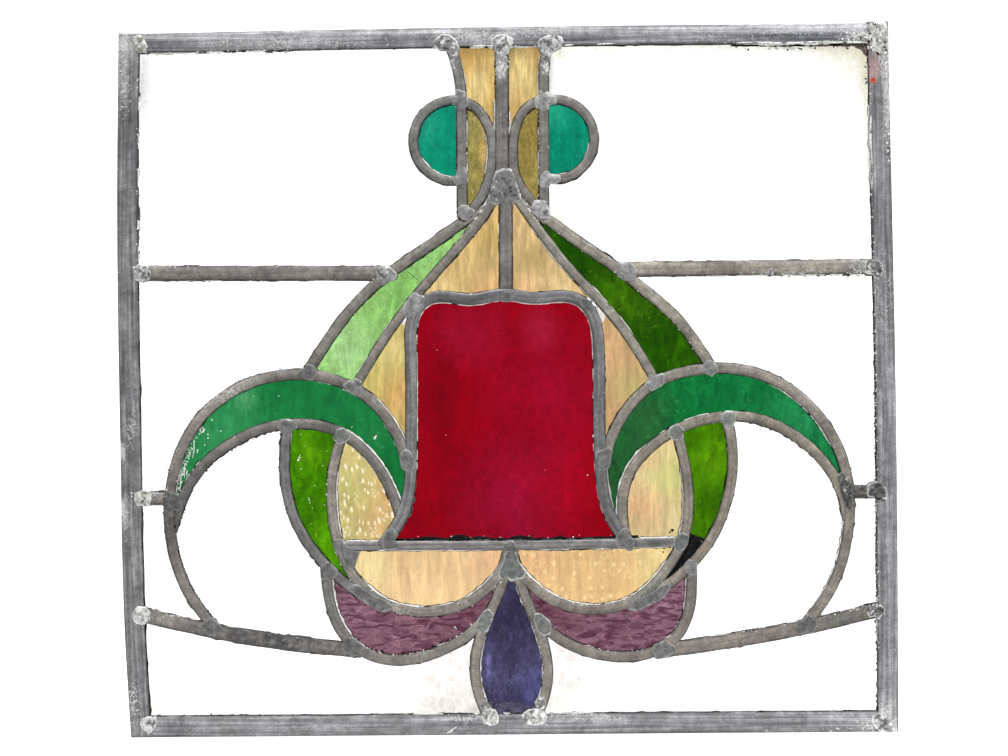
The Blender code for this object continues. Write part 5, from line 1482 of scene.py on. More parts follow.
UP = (420, 420, 42)          # upright wisps
COLOURED = [
    # node, cell mm, relief, seed, amount, slot, material
    ("amber_stem_pane_left", 0.8, "wavy", 201, 0.6, "amber", dict(shade=(220, 188, 118), vary=0.14, scale=(200, 200, 60),
        streak=(0.78, 1.26, (130, 130, 24), 0.22, 2.4), fine=0.06,
        washes=[((176, 136, 66), 486, 150, 60, 0.6), ((250, 228, 164), 478, 85, 26, 0.7, (0.6, 1.2)), ((112, 94, 58), 474, 44, 46, 1.0, (1, 0.38)),
                ((170, 140, 82), 494, 90, 60, 0.5, (0.12, 1)),
                ((186, 146, 80), 462, 52, 30, 0.6), ((196, 156, 88), 470, 60, 22, 0.5)])),
    ("amber_stem_pane_right", 0.8, "wavy", 202, 0.6, "amber", dict(shade=(221, 191, 125), vary=0.14, scale=(200, 200, 60),
        streak=(0.78, 1.26, (130, 130, 24), -0.24, 2.4), fine=0.06,
        washes=[((250, 228, 160), 523, 78, 28, 0.7, (0.6, 1.2)), ((112, 96, 60), 528, 44, 46, 1.0, (1, 0.38)),
                ((170, 142, 88), 540, 90, 60, 0.5, (0.12, 1)), ((184, 144, 80), 512, 112, 30, 0.6),
                ((186, 148, 84), 540, 52, 24, 0.6)])),
    ("olive_lens_pane_left", 0.8, "flat", 203, 1, "olive", dict(shade=(150, 138, 76), vary=0.18,
        streak=(0.78, 1.24, (420, 420, 150), 0.1, 1.2), fine=0.14,
        washes=[((210, 172, 106), 485.5, 150, 9, 1.0, (1, 4.2)), ((176, 166, 104), 470, 128, 16, 0.5)],
        extra=flecks(0.66, 0.45, (214, 206, 160), 420))),
    ("olive_lens_pane_right", 0.8, "flat", 204, 1, "olive", dict(shade=(148, 131, 68), vary=0.18,
        streak=(0.78, 1.24, (420, 420, 150), 0.1, 1.2), fine=0.14,
        washes=[((206, 192, 114), 539.5, 165, 6, 1.0, (1, 5)), ((170, 156, 92), 528, 180, 16, 0.5)],
        extra=flecks(0.66, 0.45, (206, 196, 140), 420))),
    ("teal_pane_left", 0.8, "flat", 205, 1, "teal", dict(shade=(12, 146, 116), vary=0.10, streak=(0.88, 1.12, (200, 200, 70), 0.1),
        washes=[((44, 166, 136), 424, 126, 22, 0.7), ((0, 132, 100), 452, 160, 22, 0.6)], extra=flecks(0.70, 0.4, (130, 210, 190), 500))),
    ("teal_pane_right", 0.8, "flat", 206, 1, "teal", dict(shade=(6, 141, 112), vary=0.10, streak=(0.86, 1.12, (220, 220, 60), 0.0),
        washes=[((38, 164, 130), 556, 112, 22, 0.8), ((30, 162, 130), 586, 150, 16, 0.7), ((0, 122, 94), 566, 150, 22, 0.6)],
        extra=flecks(0.69, 0.4, (130, 210, 190), 500))),
    ("amber_triangle_pane_left", 0.9, "wavy", 207, 0.5, "amber", dict(shade=(212, 182, 122), vary=0.12,
        streak=(0.80, 1.22, (210, 210, 34), 0.22, 1.4), fine=0.05,
        washes=[((226, 176, 126), 487, 288, 26, 0.8), ((232, 206, 150), 430, 292, 28, 0.7), ((184, 152, 82), 486, 236, 28, 0.6)])),
    ("amber_triangle_pane_right", 0.9, "wavy", 208, 0.5, "amber", dict(shade=(213, 182, 128), vary=0.12,
        streak=(0.78, 1.24, (210, 210, 34), -0.22, 1.4), fine=0.05,
        washes=[((176, 152, 90), 530, 258, 22, 0.7), ((236, 188, 138), 521, 288, 18, 0.8), ((236, 208, 150), 565, 290, 26, 0.8)])),
    ("green_blade_pane_left", 0.9, "flat", 209, 1, "light_green", dict(shade=(144, 196, 110), vary=0.14, scale=(70, 70, 70),
        streak=(0.86, 1.16, (180, 180, 60), 0.7, 1.0), fine=0.12,
        washes=[((186, 228, 164), 345, 350, 40, 0.8), ((160, 214, 134), 430, 252, 34, 0.7), ((112, 176, 84), 400, 290, 26, 0.5)],
        extra=flecks(0.70, 0.7, (236, 248, 224), 480))),
    ("green_blade_pane_right", 0.9, "flat", 210, 1, "dark_green", dict(shade=(34, 82, 0), vary=0.22, scale=(120, 120, 120),
        streak=(0.70, 1.28, (170, 170, 60), -0.5, 1.2), fine=0.20,
        washes=[((72, 124, 8), 620, 300, 46, 0.7), ((10, 56, 0), 572, 250, 44, 0.6), ((54, 118, 0), 690, 352, 26, 0.7)],
        extra=flecks(0.69, 0.55, (150, 190, 104), 460))),
    ("amber_side_pane_left", 0.9, "wavy", 211, 0.5, "amber", dict(shade=(209, 190, 118), vary=0.10, scale=(130, 130, 60),
        streak=(0.84, 1.16, (300, 300, 50), 0.5, 1.0), fine=0.05,
        washes=[((186, 184, 100), 376, 385, 26, 0.7), ((214, 158, 98), 402, 400, 40, 0.9), ((232, 212, 146), 392, 350, 20, 0.7)]
        + [((255, 254, 250), 404, 318, 8, 1.0)] * 3)),      # its tip is missing and light comes through
    ("amber_side_pane_right", 0.9, "wavy", 212, 0.5, "amber", dict(shade=(205, 168, 120), vary=0.10, scale=(130, 130, 60),
        streak=(0.84, 1.16, (300, 300, 50), -0.5, 1.0), fine=0.05,
        washes=[((182, 174, 112), 634, 388, 28, 0.9), ((220, 178, 130), 608, 350, 30, 0.7), ((196, 150, 100), 612, 420, 26, 0.5)]
        + [((255, 254, 250), 601, 312, 9, 1.0, (0.7, 1.3))] * 3)),
    ("red_flower_pane", 1.2, "flat", 213, 1, "red", dict(shade=(150, 0, 20), vary=0.10, scale=(48, 48, 40),
        streak=(0.93, 1.06, (80, 80, 44), 0.2, 1.8), fine=0.08,
        relief_span=(0.95, 1.05), spec=0.25,
        washes=[((158, 10, 48), 548, 390, 80, 0.75), ((160, 18, 58), 520, 500, 80, 0.9), ((112, 0, 16), 441, 400, 60, 0.75, (0.4, 1.6)),
                ((118, 0, 22), 470, 478, 50, 0.6), ((174, 0, 24), 575, 500, 52, 0.7), ((160, 24, 62), 470, 330, 46, 0.6),
                ((172, 36, 70), 540, 330, 30, 0.5), ((124, 0, 22), 520, 440, 40, 0.4)],
        extra=flecks(0.715, 0.35, (214, 110, 130), 560))),
    ("green_arch_pane_left", 0.9, "flat", 214, 1, "arch_green", dict(shade=(26, 122, 62), vary=0.12, scale=(80, 80, 60),
        streak=(0.84, 1.14, (260, 260, 60), 0.1, 1.0), fine=0.08,
        washes=[((58, 154, 94), 215, 430, 66, 0.85), ((92, 164, 116), 244, 398, 16, 0.6), ((6, 104, 44), 392, 470, 50, 0.6),
                ((44, 124, 74), 375, 438, 18, 0.5)], extra=flecks(0.70, 0.6, (150, 214, 174), 460))),
    ("green_arch_pane_right", 0.9, "flat", 215, 1, "arch_green", dict(shade=(12, 114, 54), vary=0.12, scale=(80, 80, 60),
        streak=(0.82, 1.14, (200, 200, 70), 0.2, 1.0), fine=0.12,
        washes=[((38, 80, 42), 620, 462, 66, 1.0), ((36, 78, 40), 616, 476, 40, 1.0), ((46, 92, 50), 645, 415, 42, 1.0),
                ((40, 146, 90), 806, 424, 60, 0.8),
                ((26, 132, 74), 740, 392, 30, 0.4)],
        extra=flecks(0.68, 0.5, (110, 180, 130), 460))),
    ("green_leaf_pane_left", 0.8, "hammered", 216, 0.8, "leaf_green", dict(shade=(64, 128, 0), vary=0.20, scale=(120, 120, 90),
        streak=(0.74, 1.20, (200, 200, 80), 0.2, 1.0), fine=0.12,
        relief_span=(0.92, 1.08), washes=[((98, 154, 8), 312, 452, 22, 0.7), ((38, 92, 0), 324, 440, 18, 0.8), ((92, 164, 6), 326, 540, 34, 0.8),
                                         ((44, 104, 0), 296, 500, 20, 0.5)],
        extra=flecks(0.70, 0.7, (180, 214, 130), 430))),
    ("green_leaf_pane_right", 0.8, "flat", 217, 1, "leaf_green", dict(shade=(68, 126, 0), vary=0.18, scale=(120, 120, 90),
        streak=(0.74, 1.20, (200, 200, 70), 0.1, 1.0), fine=0.12,
        relief_span=(0.92, 1.08), washes=[((96, 156, 6), 712, 460, 28, 0.8), ((38, 88, 0), 716, 500, 24, 0.7), ((44, 104, 0), 694, 440, 16, 0.5)],
        extra=flecks(0.70, 0.6, (170, 204, 110), 430))),
    ("amber_teardrop_pane_left", 0.6, "dimples", 218, 1, "amber", dict(shade=(210, 194, 128), vary=0.07, scale=(130, 130, 90),
        streak=(0.88, 1.12, (260, 260, 80), 0.1, 0.8), fine=0.04,
        relief_span=(0.96, 1.06), washes=[((222, 178, 120), 388, 500, 42, 0.95), ((196, 196, 116), 352, 490, 28, 0.7), ((230, 190, 132), 380, 530, 26, 0.8)],
        extra=brights((255, 249, 222), 0.30, 0.95, 0.95))),
    ("amber_teardrop_pane_right", 0.9, "wavy", 219, 0.5, "amber", dict(shade=(223, 198, 146), vary=0.07, scale=(130, 130, 60),
        streak=(0.86, 1.13, (320, 320, 46), 0.15, 1.0), fine=0.04,
        washes=[((204, 204, 128), 672, 474, 38, 0.95), ((232, 182, 136), 640, 508, 30, 0.9), ((250, 232, 170), 676, 522, 20, 0.9),
                ((236, 192, 142), 650, 460, 14, 0.5)])),
    ("amber_cup_pane_left", 0.9, "wavy", 220, 0.7, "amber", dict(shade=(236, 200, 148), vary=0.07, scale=(220, 220, 50),
        streak=(0.86, 1.14, (150, 150, 28), 0.05, 1.4), fine=0.04,
        washes=[((250, 234, 170), 370, 570, 30, 0.95), ((242, 192, 150), 488, 560, 34, 0.85), ((244, 212, 158), 424, 590, 24, 0.5),
                ((226, 186, 132), 400, 560, 22, 0.5, (0.4, 1.2))],
        extra=strokes((252, 236, 196), 0.63, 0.65))),
    ("amber_cup_pane_right", 0.6, "bubbles", 221, 1, "amber", dict(shade=(232, 192, 136), vary=0.06, scale=(220, 220, 50),
        streak=(0.88, 1.12, (230, 230, 34), 0.0, 0.9), fine=0.04,
        relief_span=(0.97, 1.05), washes=[((246, 226, 158), 662, 562, 42, 0.95), ((238, 186, 138), 535, 560, 34, 0.8)],
        extra=brights((252, 228, 176), 0.25, 1.0, 0.8))),
    ("mauve_petal_pane_left", 0.7, "ripple", 222, 1, "mauve", dict(shade=(130, 93, 107), vary=0.10, scale=(110, 110, 180),
        streak=(0.88, 1.12, (180, 180, 330), -0.2, 1.0), fine=0.08,
        relief_span=(0.84, 1.14), washes=[((150, 114, 130), 352, 612, 34, 0.7), ((98, 48, 64), 470, 606, 44, 0.6), ((138, 98, 112), 430, 640, 30, 0.5)],
        extra=hollows((84, 44, 62), 0.85, -0.2))),
    ("mauve_petal_pane_right", 0.7, "ripple", 223, 1, "mauve", dict(shade=(128, 91, 105), vary=0.10, scale=(110, 110, 180),
        streak=(0.88, 1.12, (180, 180, 330), 0.2, 1.0), fine=0.08,
        relief_span=(0.84, 1.14), washes=[((156, 118, 138), 668, 606, 40, 0.8), ((98, 46, 64), 556, 606, 40, 0.6), ((136, 94, 110), 600, 640, 30, 0.5)],
        extra=hollows((82, 42, 60), 0.85, 0.2))),
    ("violet_drop_pane", 0.8, "wavy", 224, 1, "violet", dict(shade=(70, 67, 98), vary=0.18, scale=(170, 170, 130),
        streak=(0.72, 1.28, (330, 330, 120), 0.5, 1.8), fine=0.22,
        relief_span=(0.94, 1.06), washes=[((40, 37, 60), 512, 618, 52, 0.95, (1, 0.9)), ((92, 92, 146), 536, 688, 26, 0.9), ((112, 106, 158), 489, 668, 9, 0.9, (0.5, 2.0)),
                                         ((58, 54, 92), 508, 706, 26, 0.7), ((98, 92, 142), 500, 690, 8, 0.5, (0.5, 1.8)), ((46, 42, 72), 512, 655, 22, 0.6)],
        extra=flecks(0.68, 0.45, (120, 120, 160), 620))),
]
for node, cell, kind, seed, amount, slot_name, args in COLOURED:
    pane(node, cell * MM, relief(kind, seed, amount), glass_material("glass_" + node, **args), slot_name)


def crumbly(x, z):
    h = 0.30 * MM * rough(x, z, 0.0025, 55, 3)
    return h, 0.25 * MM * rough(x, z, 0.003, 77, 3), 0.5 + 0 * x


pane("cement_fill_leaf_tip", 0.6 * MM, crumbly, CEMENT, "cement", "cement_fill_leaf_tip_black")


# ----------------------------------------------------------------- small marks
def strip_on(points, width, y, name, mat, slot, thick=0.05):
    """A thin raised line on a face of the panel."""
    p, s = resample(place(*np.array(points, float).T), 0.4 * MM)
    t = np.gradient(p, axis=0)
    t /= np.linalg.norm(t, axis=1)[:, None]
    nrm = np.stack([-t[:, 1], t[:, 0]], 1)
    w = width * MM / 2 * (0.5 + 0.5 * np.sin(np.linspace(0.1, math.pi - 0.1, len(p))))
    w = w * (1 + 0.3 * noise(s, 0 * s, 0.0012, 5))
    verts, faces = [], []
    for q, n_, h in zip(p, nrm, w):
        for side, dy in ((-1, 0), (1, 0), (1, -thick), (-1, -thick)):
            verts.append((q[0] + n_[0] * h * side, (y + dy) * MM, q[1] + n_[1] * h * side))
    k = len(p)
    for i in range(k - 1):
        for j in range(4):
            jj = (j + 1) % 4
            faces.append((4 * i + j, 4 * i + jj, 4 * i + 4 + jj, 4 * i + 4 + j))
    faces.append((0, 1, 2, 3))
    faces.append(tuple(range(4 * k - 4, 4 * k))[::-1])
    return add(mesh_object(name, np.array(verts), faces, mat), slot)


strip_on([(407, 271.6), (412, 275.2), (419, 280.7)], 0.30, -1.22, "crack_in_blade_glass", CEMENT, "cement")
strip_on([(405, 273.4), (410, 277.0), (415, 280.4)], 0.14, -1.22, "crack_hairline_in_blade_glass", CEMENT, "cement")


# cement packed where two cames nearly touch
strip_on([(495, 178), (489, 192), (480, 207), (474, 214)], 1.3, -1.22, "cement_between_ring_and_blade_left", CEMENT, "cement", 0.12)
strip_on([(512, 174), (519, 190), (527, 202), (534, 210)], 1.3, -1.22, "cement_between_ring_and_blade_right", CEMENT, "cement", 0.12)
strip_on([(509.6, 112), (510.2, 132), (510, 150)], 0.7, -1.40, "whiting_beside_centre_came", CHALK, "cement", 0.2)


def rim(line, at, inward):
    """A point near the glass side of a border, inward squares in from the edge of its face."""
    over, down = np.array(LINES[line][1], float).T
    reach = HALF[line] / GRID - inward
    if line == "border_top":
        return at, float(np.interp(at, over, down)) + reach
    order = np.argsort(down)
    return float(np.interp(at, down[order], over[order])) - reach, at


# whiting dried in broken lengths along the very edge of a border's face
for k, (line, a, b, wide) in enumerate([
        ("border_top", 736, 757, 0.55), ("border_top", 752, 786, 0.85), ("border_top", 781, 806, 1.15),
        ("border_top", 803, 823, 0.65), ("border_top", 820, 846, 1.05), ("border_top", 842, 867, 0.85),
        ("border_top", 474, 488, 0.55), ("border_top", 486, 499, 0.45), ("border_top", 564, 573, 0.55),
        ("border_top", 597, 613, 0.65), ("border_right", 116, 134, 0.75), ("border_right", 131, 152, 0.85),
        ("border_right", 150, 166, 0.45), ("border_right", 176, 190, 0.40)]):
    wander = [0.9 + 0.5 * math.sin(2.1 * k + q) for q in (0, 1, 2)]
    strip_on([rim(line, at, w) for at, w in zip((a, (a + b) / 2, b), wander)], wide, -2.54,
             "whiting_on_rim_%d" % k, CHALK, "cement", 0.20)
# and the dark cement showing below it
for k, (a, b, wide, mat) in enumerate([(730, 770, 1.0, CEMENT), (758, 806, 1.5, CEMENT), (794, 842, 1.7, DIRT),
                                       (830, 866, 1.9, DIRT)]):
    strip_on([rim("border_top", at, -1.3) for at in (a, (a + b) / 2, b)], wide, -1.22,
             "cement_below_rim_%d" % k, mat, "cement", 0.12)


def specks(name, spots, mat):
    """Crumbs and flecks: column, row, radius in squares, how proud in mm. Each one sits on what is under it."""
    verts, faces = [], []
    for k, (col, row, size, proud) in enumerate(spots):
        c = place(col, row)
        near = [l for l in COARSE if np.abs(COARSE[l] - c).sum(1).min() < 0.02]
        under = float(lead_top(c[None], near)[0]) if near else 0.0
        y = -(under - 0.06 * MM) if under > 0 else -1.17 * MM
        turn = 6.28 * float(hashed(np.array([k]), np.array([int(col)]), 3)[0])
        th = np.linspace(0, 2 * math.pi, 7, endpoint=False) + turn
        lim = size * GRID * (0.65 + 0.7 * hashed(np.arange(7), np.full(7, k), 11))
        off = len(verts)
        verts.append((c[0], y - proud * MM, c[1]))
        for r, h in ((0.6, 0.85), (1.0, 0.0)):
            for a_, l in zip(th, lim):
                verts.append((c[0] + math.cos(a_) * l * r, y - proud * MM * h, c[1] + math.sin(a_) * l * r))
        for j in range(7):
            jj = (j + 1) % 7
            faces.append((off, off + 1 + j, off + 1 + jj))
            faces.append((off + 1 + j, off + 8 + j, off + 8 + jj, off + 1 + jj))
        faces.append(tuple(off + 8 + j for j in range(7)))
    return add(mesh_object(name, np.array(verts), faces, mat), "cement")


def beside(line, side, t0, t1, count, lo, hi, size, proud, seed):
    """Places for crumbs along a stretch of a line, lo to hi squares out from the lead's edge."""
    p = PATH[line]
    t = np.gradient(p, axis=0)
    t /= np.linalg.norm(t, axis=1)[:, None]
    k = np.arange(count)
    u = t0 + (t1 - t0) * hashed(k, k * 0 + seed, 21)
    i = np.clip((u * len(p)).astype(int), 0, len(p) - 1)
    out = HALF[line] + GRID * (lo + (hi - lo) * hashed(k, k * 0 + seed, 22) ** (1.0 if lo < -3 else 1.6))
    q = p[i] + np.stack([-t[i, 1], t[i, 0]], 1) * side * out[:, None]
    c_, s_ = math.cos(TILT), math.sin(TILT)
    cols = MID_COL + (q[:, 0] * c_ - q[:, 1] * s_) / GRID
    rows = BASE_ROW - (q[:, 1] * c_ + q[:, 0] * s_) / GRID
    sizes = size * (0.5 + hashed(k, k * 0 + seed, 23))
    return [(float(a_), float(b_), float(c2), proud) for a_, b_, c2 in zip(cols, rows, sizes)]


white, dark, brown = [], [], []
for k in range(24):                          # the ragged top of the cement where the leaf's glass stops short
    u = k / 23
    dark.append((689.5 + 12.5 * u, 534.6 + 5.4 * u + 0.8 * math.sin(5.1 * k), 1.5 + 0.5 * math.sin(2.3 * k), 0.22))
for k in range(64):                          # cement and whiting standing in teeth along the right border
    row = 330 + 4.4 * k + 1.5 * math.sin(3.7 * k)
    edge_col = 884.3 + 0.0100 * (row - 400) - 10.3
    (dark if k % 3 else brown).append((edge_col + 0.1 + 0.4 * math.sin(5.3 * k), row, 0.85 + 0.35 * math.sin(1.9 * k), 0.3))
    white.append((edge_col + 0.1 + 0.5 * math.sin(2.9 * k), row + 2.0, 0.70 + 0.25 * math.sin(4.3 * k), 0.32))
for k in range(44):                          # crumbs of whiting and dirt over the top right corner's solder
    a_, b_ = float(hashed(np.array([k]), np.array([7]), 31)[0]), float(hashed(np.array([k]), np.array([9]), 32)[0])
    spot = (866 + 20 * a_, 24 + 30 * b_) if k % 4 else (856 + 14 * a_, 33 + 10 * b_)
    (white if k % 3 else dark).append((*spot, 0.7 + 0.9 * abs(math.sin(2.7 * k)), 0.82))
white += [(298.5, 460, 1.2, 0.1), (299.6, 457.4, 1.0, 0.1), (300, 455, 0.6, 0.1), (301, 469, 0.5, 0.1), (323, 466, 0.5, 0.1),
          (315, 485.5, 0.7, 0.1), (309, 498, 0.7, 0.1), (309.6, 500, 0.7, 0.1), (310.2, 502.5, 0.6, 0.1), (312.5, 508, 0.4, 0.1),
          (324.5, 505, 0.7, 0.1), (311, 524, 0.5, 0.1), (301, 434, 0.6, 0.1), (327, 451, 0.5, 0.1), (305, 446, 0.35, 0.1),
          (208, 434.5, 1.0, 0.1), (208.5, 438, 0.9, 0.1), (212, 420, 1.0, 0.1), (205, 445, 0.8, 0.1), (221, 431, 0.7, 0.1),
          (375, 438, 1.6, 0.08), (376, 436, 1.0, 0.08), (279, 396, 0.6, 0.1), (352, 427, 0.7, 0.1),
          (446, 435, 0.4, 0.1), (545, 470, 0.35, 0.1), (587.5, 475, 0.7, 0.1), (437, 350, 0.4, 0.1),
          (455, 627, 1.0, 0.1), (456.5, 628.5, 0.7, 0.1), (458, 603, 0.6, 0.1), (470, 596, 0.6, 0.1),
          (500, 63, 1.6, 0.12), (502, 67, 1.9, 0.12), (501, 72, 1.5, 0.1), (503, 75, 1.0, 0.1), (545, 66, 1.6, 0.1), (547, 70, 1.2, 0.1),
          (405, 178, 0.8, 0.1), (652, 60, 0.5, 0.1)]
dark += [(672, 530, 1.7, 0.15), (669.5, 532, 1.0, 0.12), (664, 548, 1.3, 0.15), (663, 552, 0.9, 0.1), (683, 523, 0.9, 0.1),
         (408, 374, 0.7, 0.1), (392, 602, 1.0, 0.1), (560, 222, 0.6, 0.1)]
for k, (line, side, t0, t1, count, lo, hi, size) in enumerate((
        ("border_top", -1, 0.03, 0.22, 34, -0.8, 2.4, 0.9), ("border_top", -1, 0.40, 0.55, 22, -1.2, 0.6, 0.9),
        ("border_right", -1, 0.80, 0.96, 34, -4.0, 0.0, 1.0), ("border_right", 1, 0.60, 0.98, 40, -1.6, 0.6, 0.7),
        ("border_right", 1, 0.12, 0.60, 70, -1.3, 0.5, 0.65), ("outer_arch_left", 1, 0.55, 0.70, 80, 0.2, 5.0, 0.8), ("border_top", -1, 0.40, 0.60, 30, -12.0, -1.0, 0.5),
        ("border_top", 1, 0.10, 0.60, 24, -9.0, 0.0, 0.5), ("centre_upper", 1, 0.03, 0.24, 24, -5.0, 0.5, 0.7),
        ("centre_upper", -1, 0.03, 0.24, 20, -5.0, 0.5, 0.7), ("stem_right", 1, 0.05, 0.3, 14, -4.0, 0.5, 0.6),
        ("border_top", -1, 0.84, 0.985, 90, -0.6, 5.0, 0.9), ("border_top", -1, 0.94, 0.995, 50, -16.0, 2.0, 0.9), ("stub_left", 1, 0.1, 0.9, 16, -5, -1, 0.8),
        ("cup_left", -1, 0.10, 0.45, 22, -1.0, 0.4, 0.6),
        ("border_left", -1, 0.62, 0.98, 40, -1.4, 1.2, 0.7), ("border_left", 1, 0.88, 0.99, 20, -5.0, -0.4, 0.7),
        ("cross_right", -1, 0.30, 0.98, 34, -1.6, 0.6, 0.6), ("cross_left", 1, 0.0, 0.25, 20, -1.6, 0.6, 0.7),
        ("blade_outer_left", -1, 0.2, 0.95, 16, -1.4, 0.4, 0.6), ("blade_outer_right", -1, 0.1, 0.9, 22, -1.2, 0.4, 0.6),
        ("base_bar", 1, 0.15, 0.87, 60, 0.0, 4.4, 0.7), ("base_bar", -1, 0.05, 0.97, 26, -0.8, 0.4, 0.6),
        ("petal_left", 1, 0.25, 0.95, 40, -0.6, 0.8, 0.7), ("petal_right", -1, 0.25, 0.95, 30, -0.6, 0.8, 0.6),
        ("cup_right", -1, 0.55, 0.96, 30, -0.8, 0.6, 0.7), ("cup_left", -1, 0.45, 0.95, 18, -0.8, 0.6, 0.6),
        ("outer_arch_left", -1, 0.45, 0.75, 30, -2.2, 0.2, 0.6), ("slope_right", 1, 0.3, 0.95, 24, -2.4, 0.4, 0.6),
        ("drop_right", -1, 0.3, 0.95, 26, -0.8, 0.8, 0.6), ("drop_left", 1, 0.3, 0.95, 20, -0.8, 0.6, 0.6),
        ("stem_right", -1, 0.05, 0.9, 26, -0.8, 0.6, 0.6), ("stem_left", 1, 0.5, 0.85, 14, -0.8, 0.6, 0.6),
        ("border_bottom", 1, 0.4, 0.62, 20, -1.4, 1.0, 0.7), ("border_bottom", -1, 0.9, 0.99, 14, -4.0, 0.0, 0.8),
        ("blade_inner_left", -1, 0.0, 0.3, 22, -1.0, 0.8, 0.8), ("blade_inner_right", 1, 0.0, 0.2, 18, -1.4, 0.8, 0.8))):
    white += beside(line, side, t0, t1, count, lo, hi, size, 0.12, 40 + k)
for k, (line, side, t0, t1, count, lo, hi, size) in enumerate((
        ("border_top", -1, 0.80, 0.985, 44, -0.5, 6.0, 0.9), ("border_right", 1, 0.90, 0.985, 26, -0.5, 4.0, 0.9),
        ("border_right", 1, 0.03, 0.17, 30, -0.5, 2.2, 0.9), ("cross_right", -1, 0.75, 0.98, 26, -0.6, 2.0, 0.9),
        ("border_bottom", 1, 0.02, 0.20, 20, -0.5, 1.4, 0.8))):
    brown += beside(line, side, t0, t1, count, lo, hi, size, 0.2, 80 + k)
for k, (line, side, t0, t1, count, lo, hi, size) in enumerate((
        ("base_bar", 1, 0.15, 0.87, 40, 1.0, 6.2, 0.8), ("leaf_left", -1, 0.03, 0.9, 70, -0.4, 1.2, 0.6),
        ("inner_arch_left", 1, 0.42, 0.97, 90, -0.4, 1.3, 0.6), ("petal_left", 1, 0.3, 0.8, 24, 0.4, 2.4, 0.8),
        ("surround", -1, 0.86, 0.97, 10, 0.2, 1.6, 0.7), ("border_right", 1, 0.30, 0.62, 30, -0.6, 0.4, 0.5), ("outer_arch_left", -1, 0.30, 0.68, 40, -0.4, 1.0, 0.6),
        ("outer_arch_left", 1, 0.70, 0.98, 80, -0.5, 0.9, 0.65))):
    dark += beside(line, side, t0, t1, count, lo, hi, size, 0.2, 120 + k)
specks("whiting_flecks_front", white, CHALK)
specks("cement_crumbs_front", dark, CEMENT)
specks("dirt_crumbs_front", brown, DIRT)

for k, (pts, w) in enumerate((([(194, 440), (194.6, 449), (193, 458)], 0.4), ([(198, 449), (197.6, 453)], 0.5),
                              ([(185.5, 463), (184.6, 470), (185, 478)], 0.45), ([(181.5, 474), (180.8, 481), (180.6, 488)], 0.55),
                              ([(190, 452), (190.6, 455)], 0.6), ([(187.5, 470), (186.8, 476)], 0.5),
                              ([(446.5, 732.5), (450, 730.6), (457, 725.8)], 0.55), ([(449, 732.6), (453, 730)], 0.3),
                              ([(409.4, 383), (410.4, 374), (410.2, 366)], 0.25))):
    on_lead = pts[0][1] > 700
    strip_on(pts, w, -2.64 if on_lead else -1.20, "white_smear_%d" % k, CHALK, "cement", 0.10)


def patch(name, outline, y, thick, mat, seed):
    """A low heap with a drawn outline."""
    poly = place(*np.array(outline, float).T)
    c = poly.mean(0)
    ring_, _ = resample(np.concatenate([poly, poly[:1]]), 0.5 * MM)
    ring_ = ring_[:-1]
    n_ = len(ring_)
    verts = [(c[0], (y - thick) * MM, c[1])]
    for r, h in ((0.35, 1.0), (0.7, 0.8), (1.0, 0.0)):
        q = c + (ring_ - c) * (r + 0.06 * noise(ring_[:, 0], ring_[:, 1], 0.0012, seed)[:, None])
        hh = thick * h * (1 + 0.5 * noise(q[:, 0], q[:, 1], 0.0011, seed + 1))
        verts += [(a_, (y - b_) * MM, d_) for a_, b_, d_ in zip(q[:, 0], hh, q[:, 1])]
    faces = []
    for j in range(n_):
        jj = (j + 1) % n_
        faces.append((0, 1 + j, 1 + jj))
        for r in range(2):
            a_ = 1 + r * n_
            faces.append((a_ + j, a_ + n_ + j, a_ + n_ + jj, a_ + jj))
    faces.append(tuple(1 + 2 * n_ + j for j in range(n_)))
    return add(mesh_object(name, np.array(verts), faces, mat), "cement")


patch("dirt_corner_top_right", [(851, 44.5), (869, 44.5), (869, 58.5), (864.5, 55), (860, 50), (855, 48)], -1.17, 0.5, DIRT, 9)

# ------------------------------------------------------------- stage and lights
def stage_material(name, colour, glow):
    n = Net(name)
    f = n.grain((3, 3, 3), 2)
    n.colour(n.ramp(f, [(0.3, tuple(0.985 * c for c in colour)), (0.7, colour)]))
    n.set(Roughness=0.9)
    n.set(Emission_Color=(1, 1, 1, 1), Emission_Strength=glow)
    return n.mat


def sheet(name, pts, mat):
    me = bpy.data.meshes.new(name)
    me.from_pydata(pts, [], [(0, 1, 2, 3)])
    me.materials.append(mat)
    ob = bpy.data.objects.new(name, me)
    bpy.context.scene.collection.objects.link(ob)
    return ob


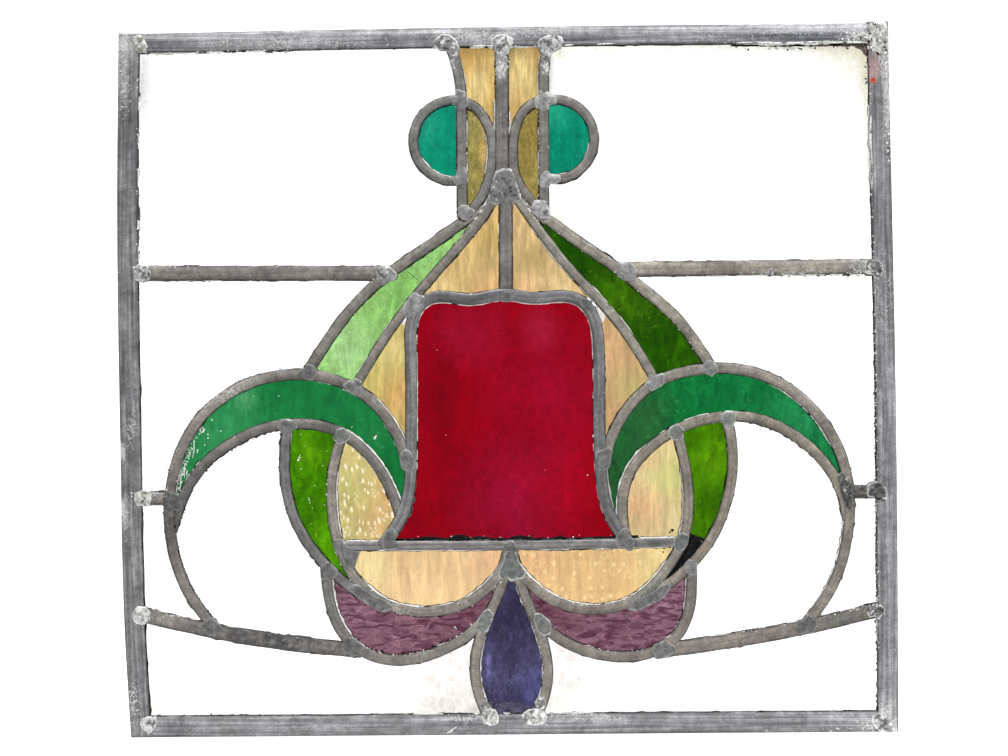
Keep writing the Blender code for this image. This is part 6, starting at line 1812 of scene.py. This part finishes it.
z0 = CAD_BOX[0][2] if not isinstance(CAD_BOX, dict) else 0.0
floor_z = float(z0) - 0.0002
sheet("studio_floor", [(-3, -0.10, floor_z), (3, -0.10, floor_z), (3, 3, floor_z), (-3, 3, floor_z)],
      stage_material("floor_white", (0.93, 0.93, 0.93), 0.38))
front = sheet("studio_floor_front", [(-3, -3, floor_z), (3, -3, floor_z), (3, -0.10, floor_z), (-3, -0.10, floor_z)],
              stage_material("floor_front_white", (0.80, 0.80, 0.80), 0.0))
front.visible_glossy = False
sheet("studio_backdrop", [(-3, 2.2, floor_z), (3, 2.2, floor_z), (3, 2.2, 4), (-3, 2.2, 4)],
      stage_material("backdrop_white", (0.93, 0.93, 0.93), 0.48))


def area(name, at, to, size, power):
    li = bpy.data.lights.new(name, "AREA")
    li.shape, li.size, li.energy = "SQUARE", size, power
    ob = bpy.data.objects.new(name, li)
    ob.location = at
    ob.rotation_euler = (Vector(to) - Vector(at)).to_track_quat("-Z", "Y").to_euler()
    bpy.context.scene.collection.objects.link(ob)


area("soft_left", (-1.5, -1.5, 1.3), (0, 0, 0.18), 0.9, 12.5)
area("soft_right", (1.5, -1.3, 1.2), (0, 0, 0.18), 0.9, 16.5)
area("soft_top", (0.1, -0.45, 1.9), (0, 0.1, 0), 1.2, 44)

world = bpy.data.worlds.new("studio")
bpy.context.scene.world = world
world.use_nodes = True
bg = world.node_tree.nodes["Background"]
bg.inputs["Color"].default_value = (1, 1, 1, 1)
bg.inputs["Strength"].default_value = 0.06

cam = bpy.data.cameras.new("camera")
cam.sensor_width, cam.lens = 36.0, 36.0 * 1.2 / 0.504
cam_ob = bpy.data.objects.new("camera", cam)
c, s = math.cos(TILT), math.sin(TILT)
cam_ob.matrix_world = Matrix(((c, s, 0, -0.00389), (0, 0, -1, -1.2), (-s, c, 0, 0.17786), (0, 0, 0, 1)))
bpy.context.scene.collection.objects.link(cam_ob)
bpy.context.scene.camera = cam_ob
bpy.context.scene.view_settings.view_transform = "Standard"


def plain(box):
    return [[float(q) for q in corner] for corner in box]
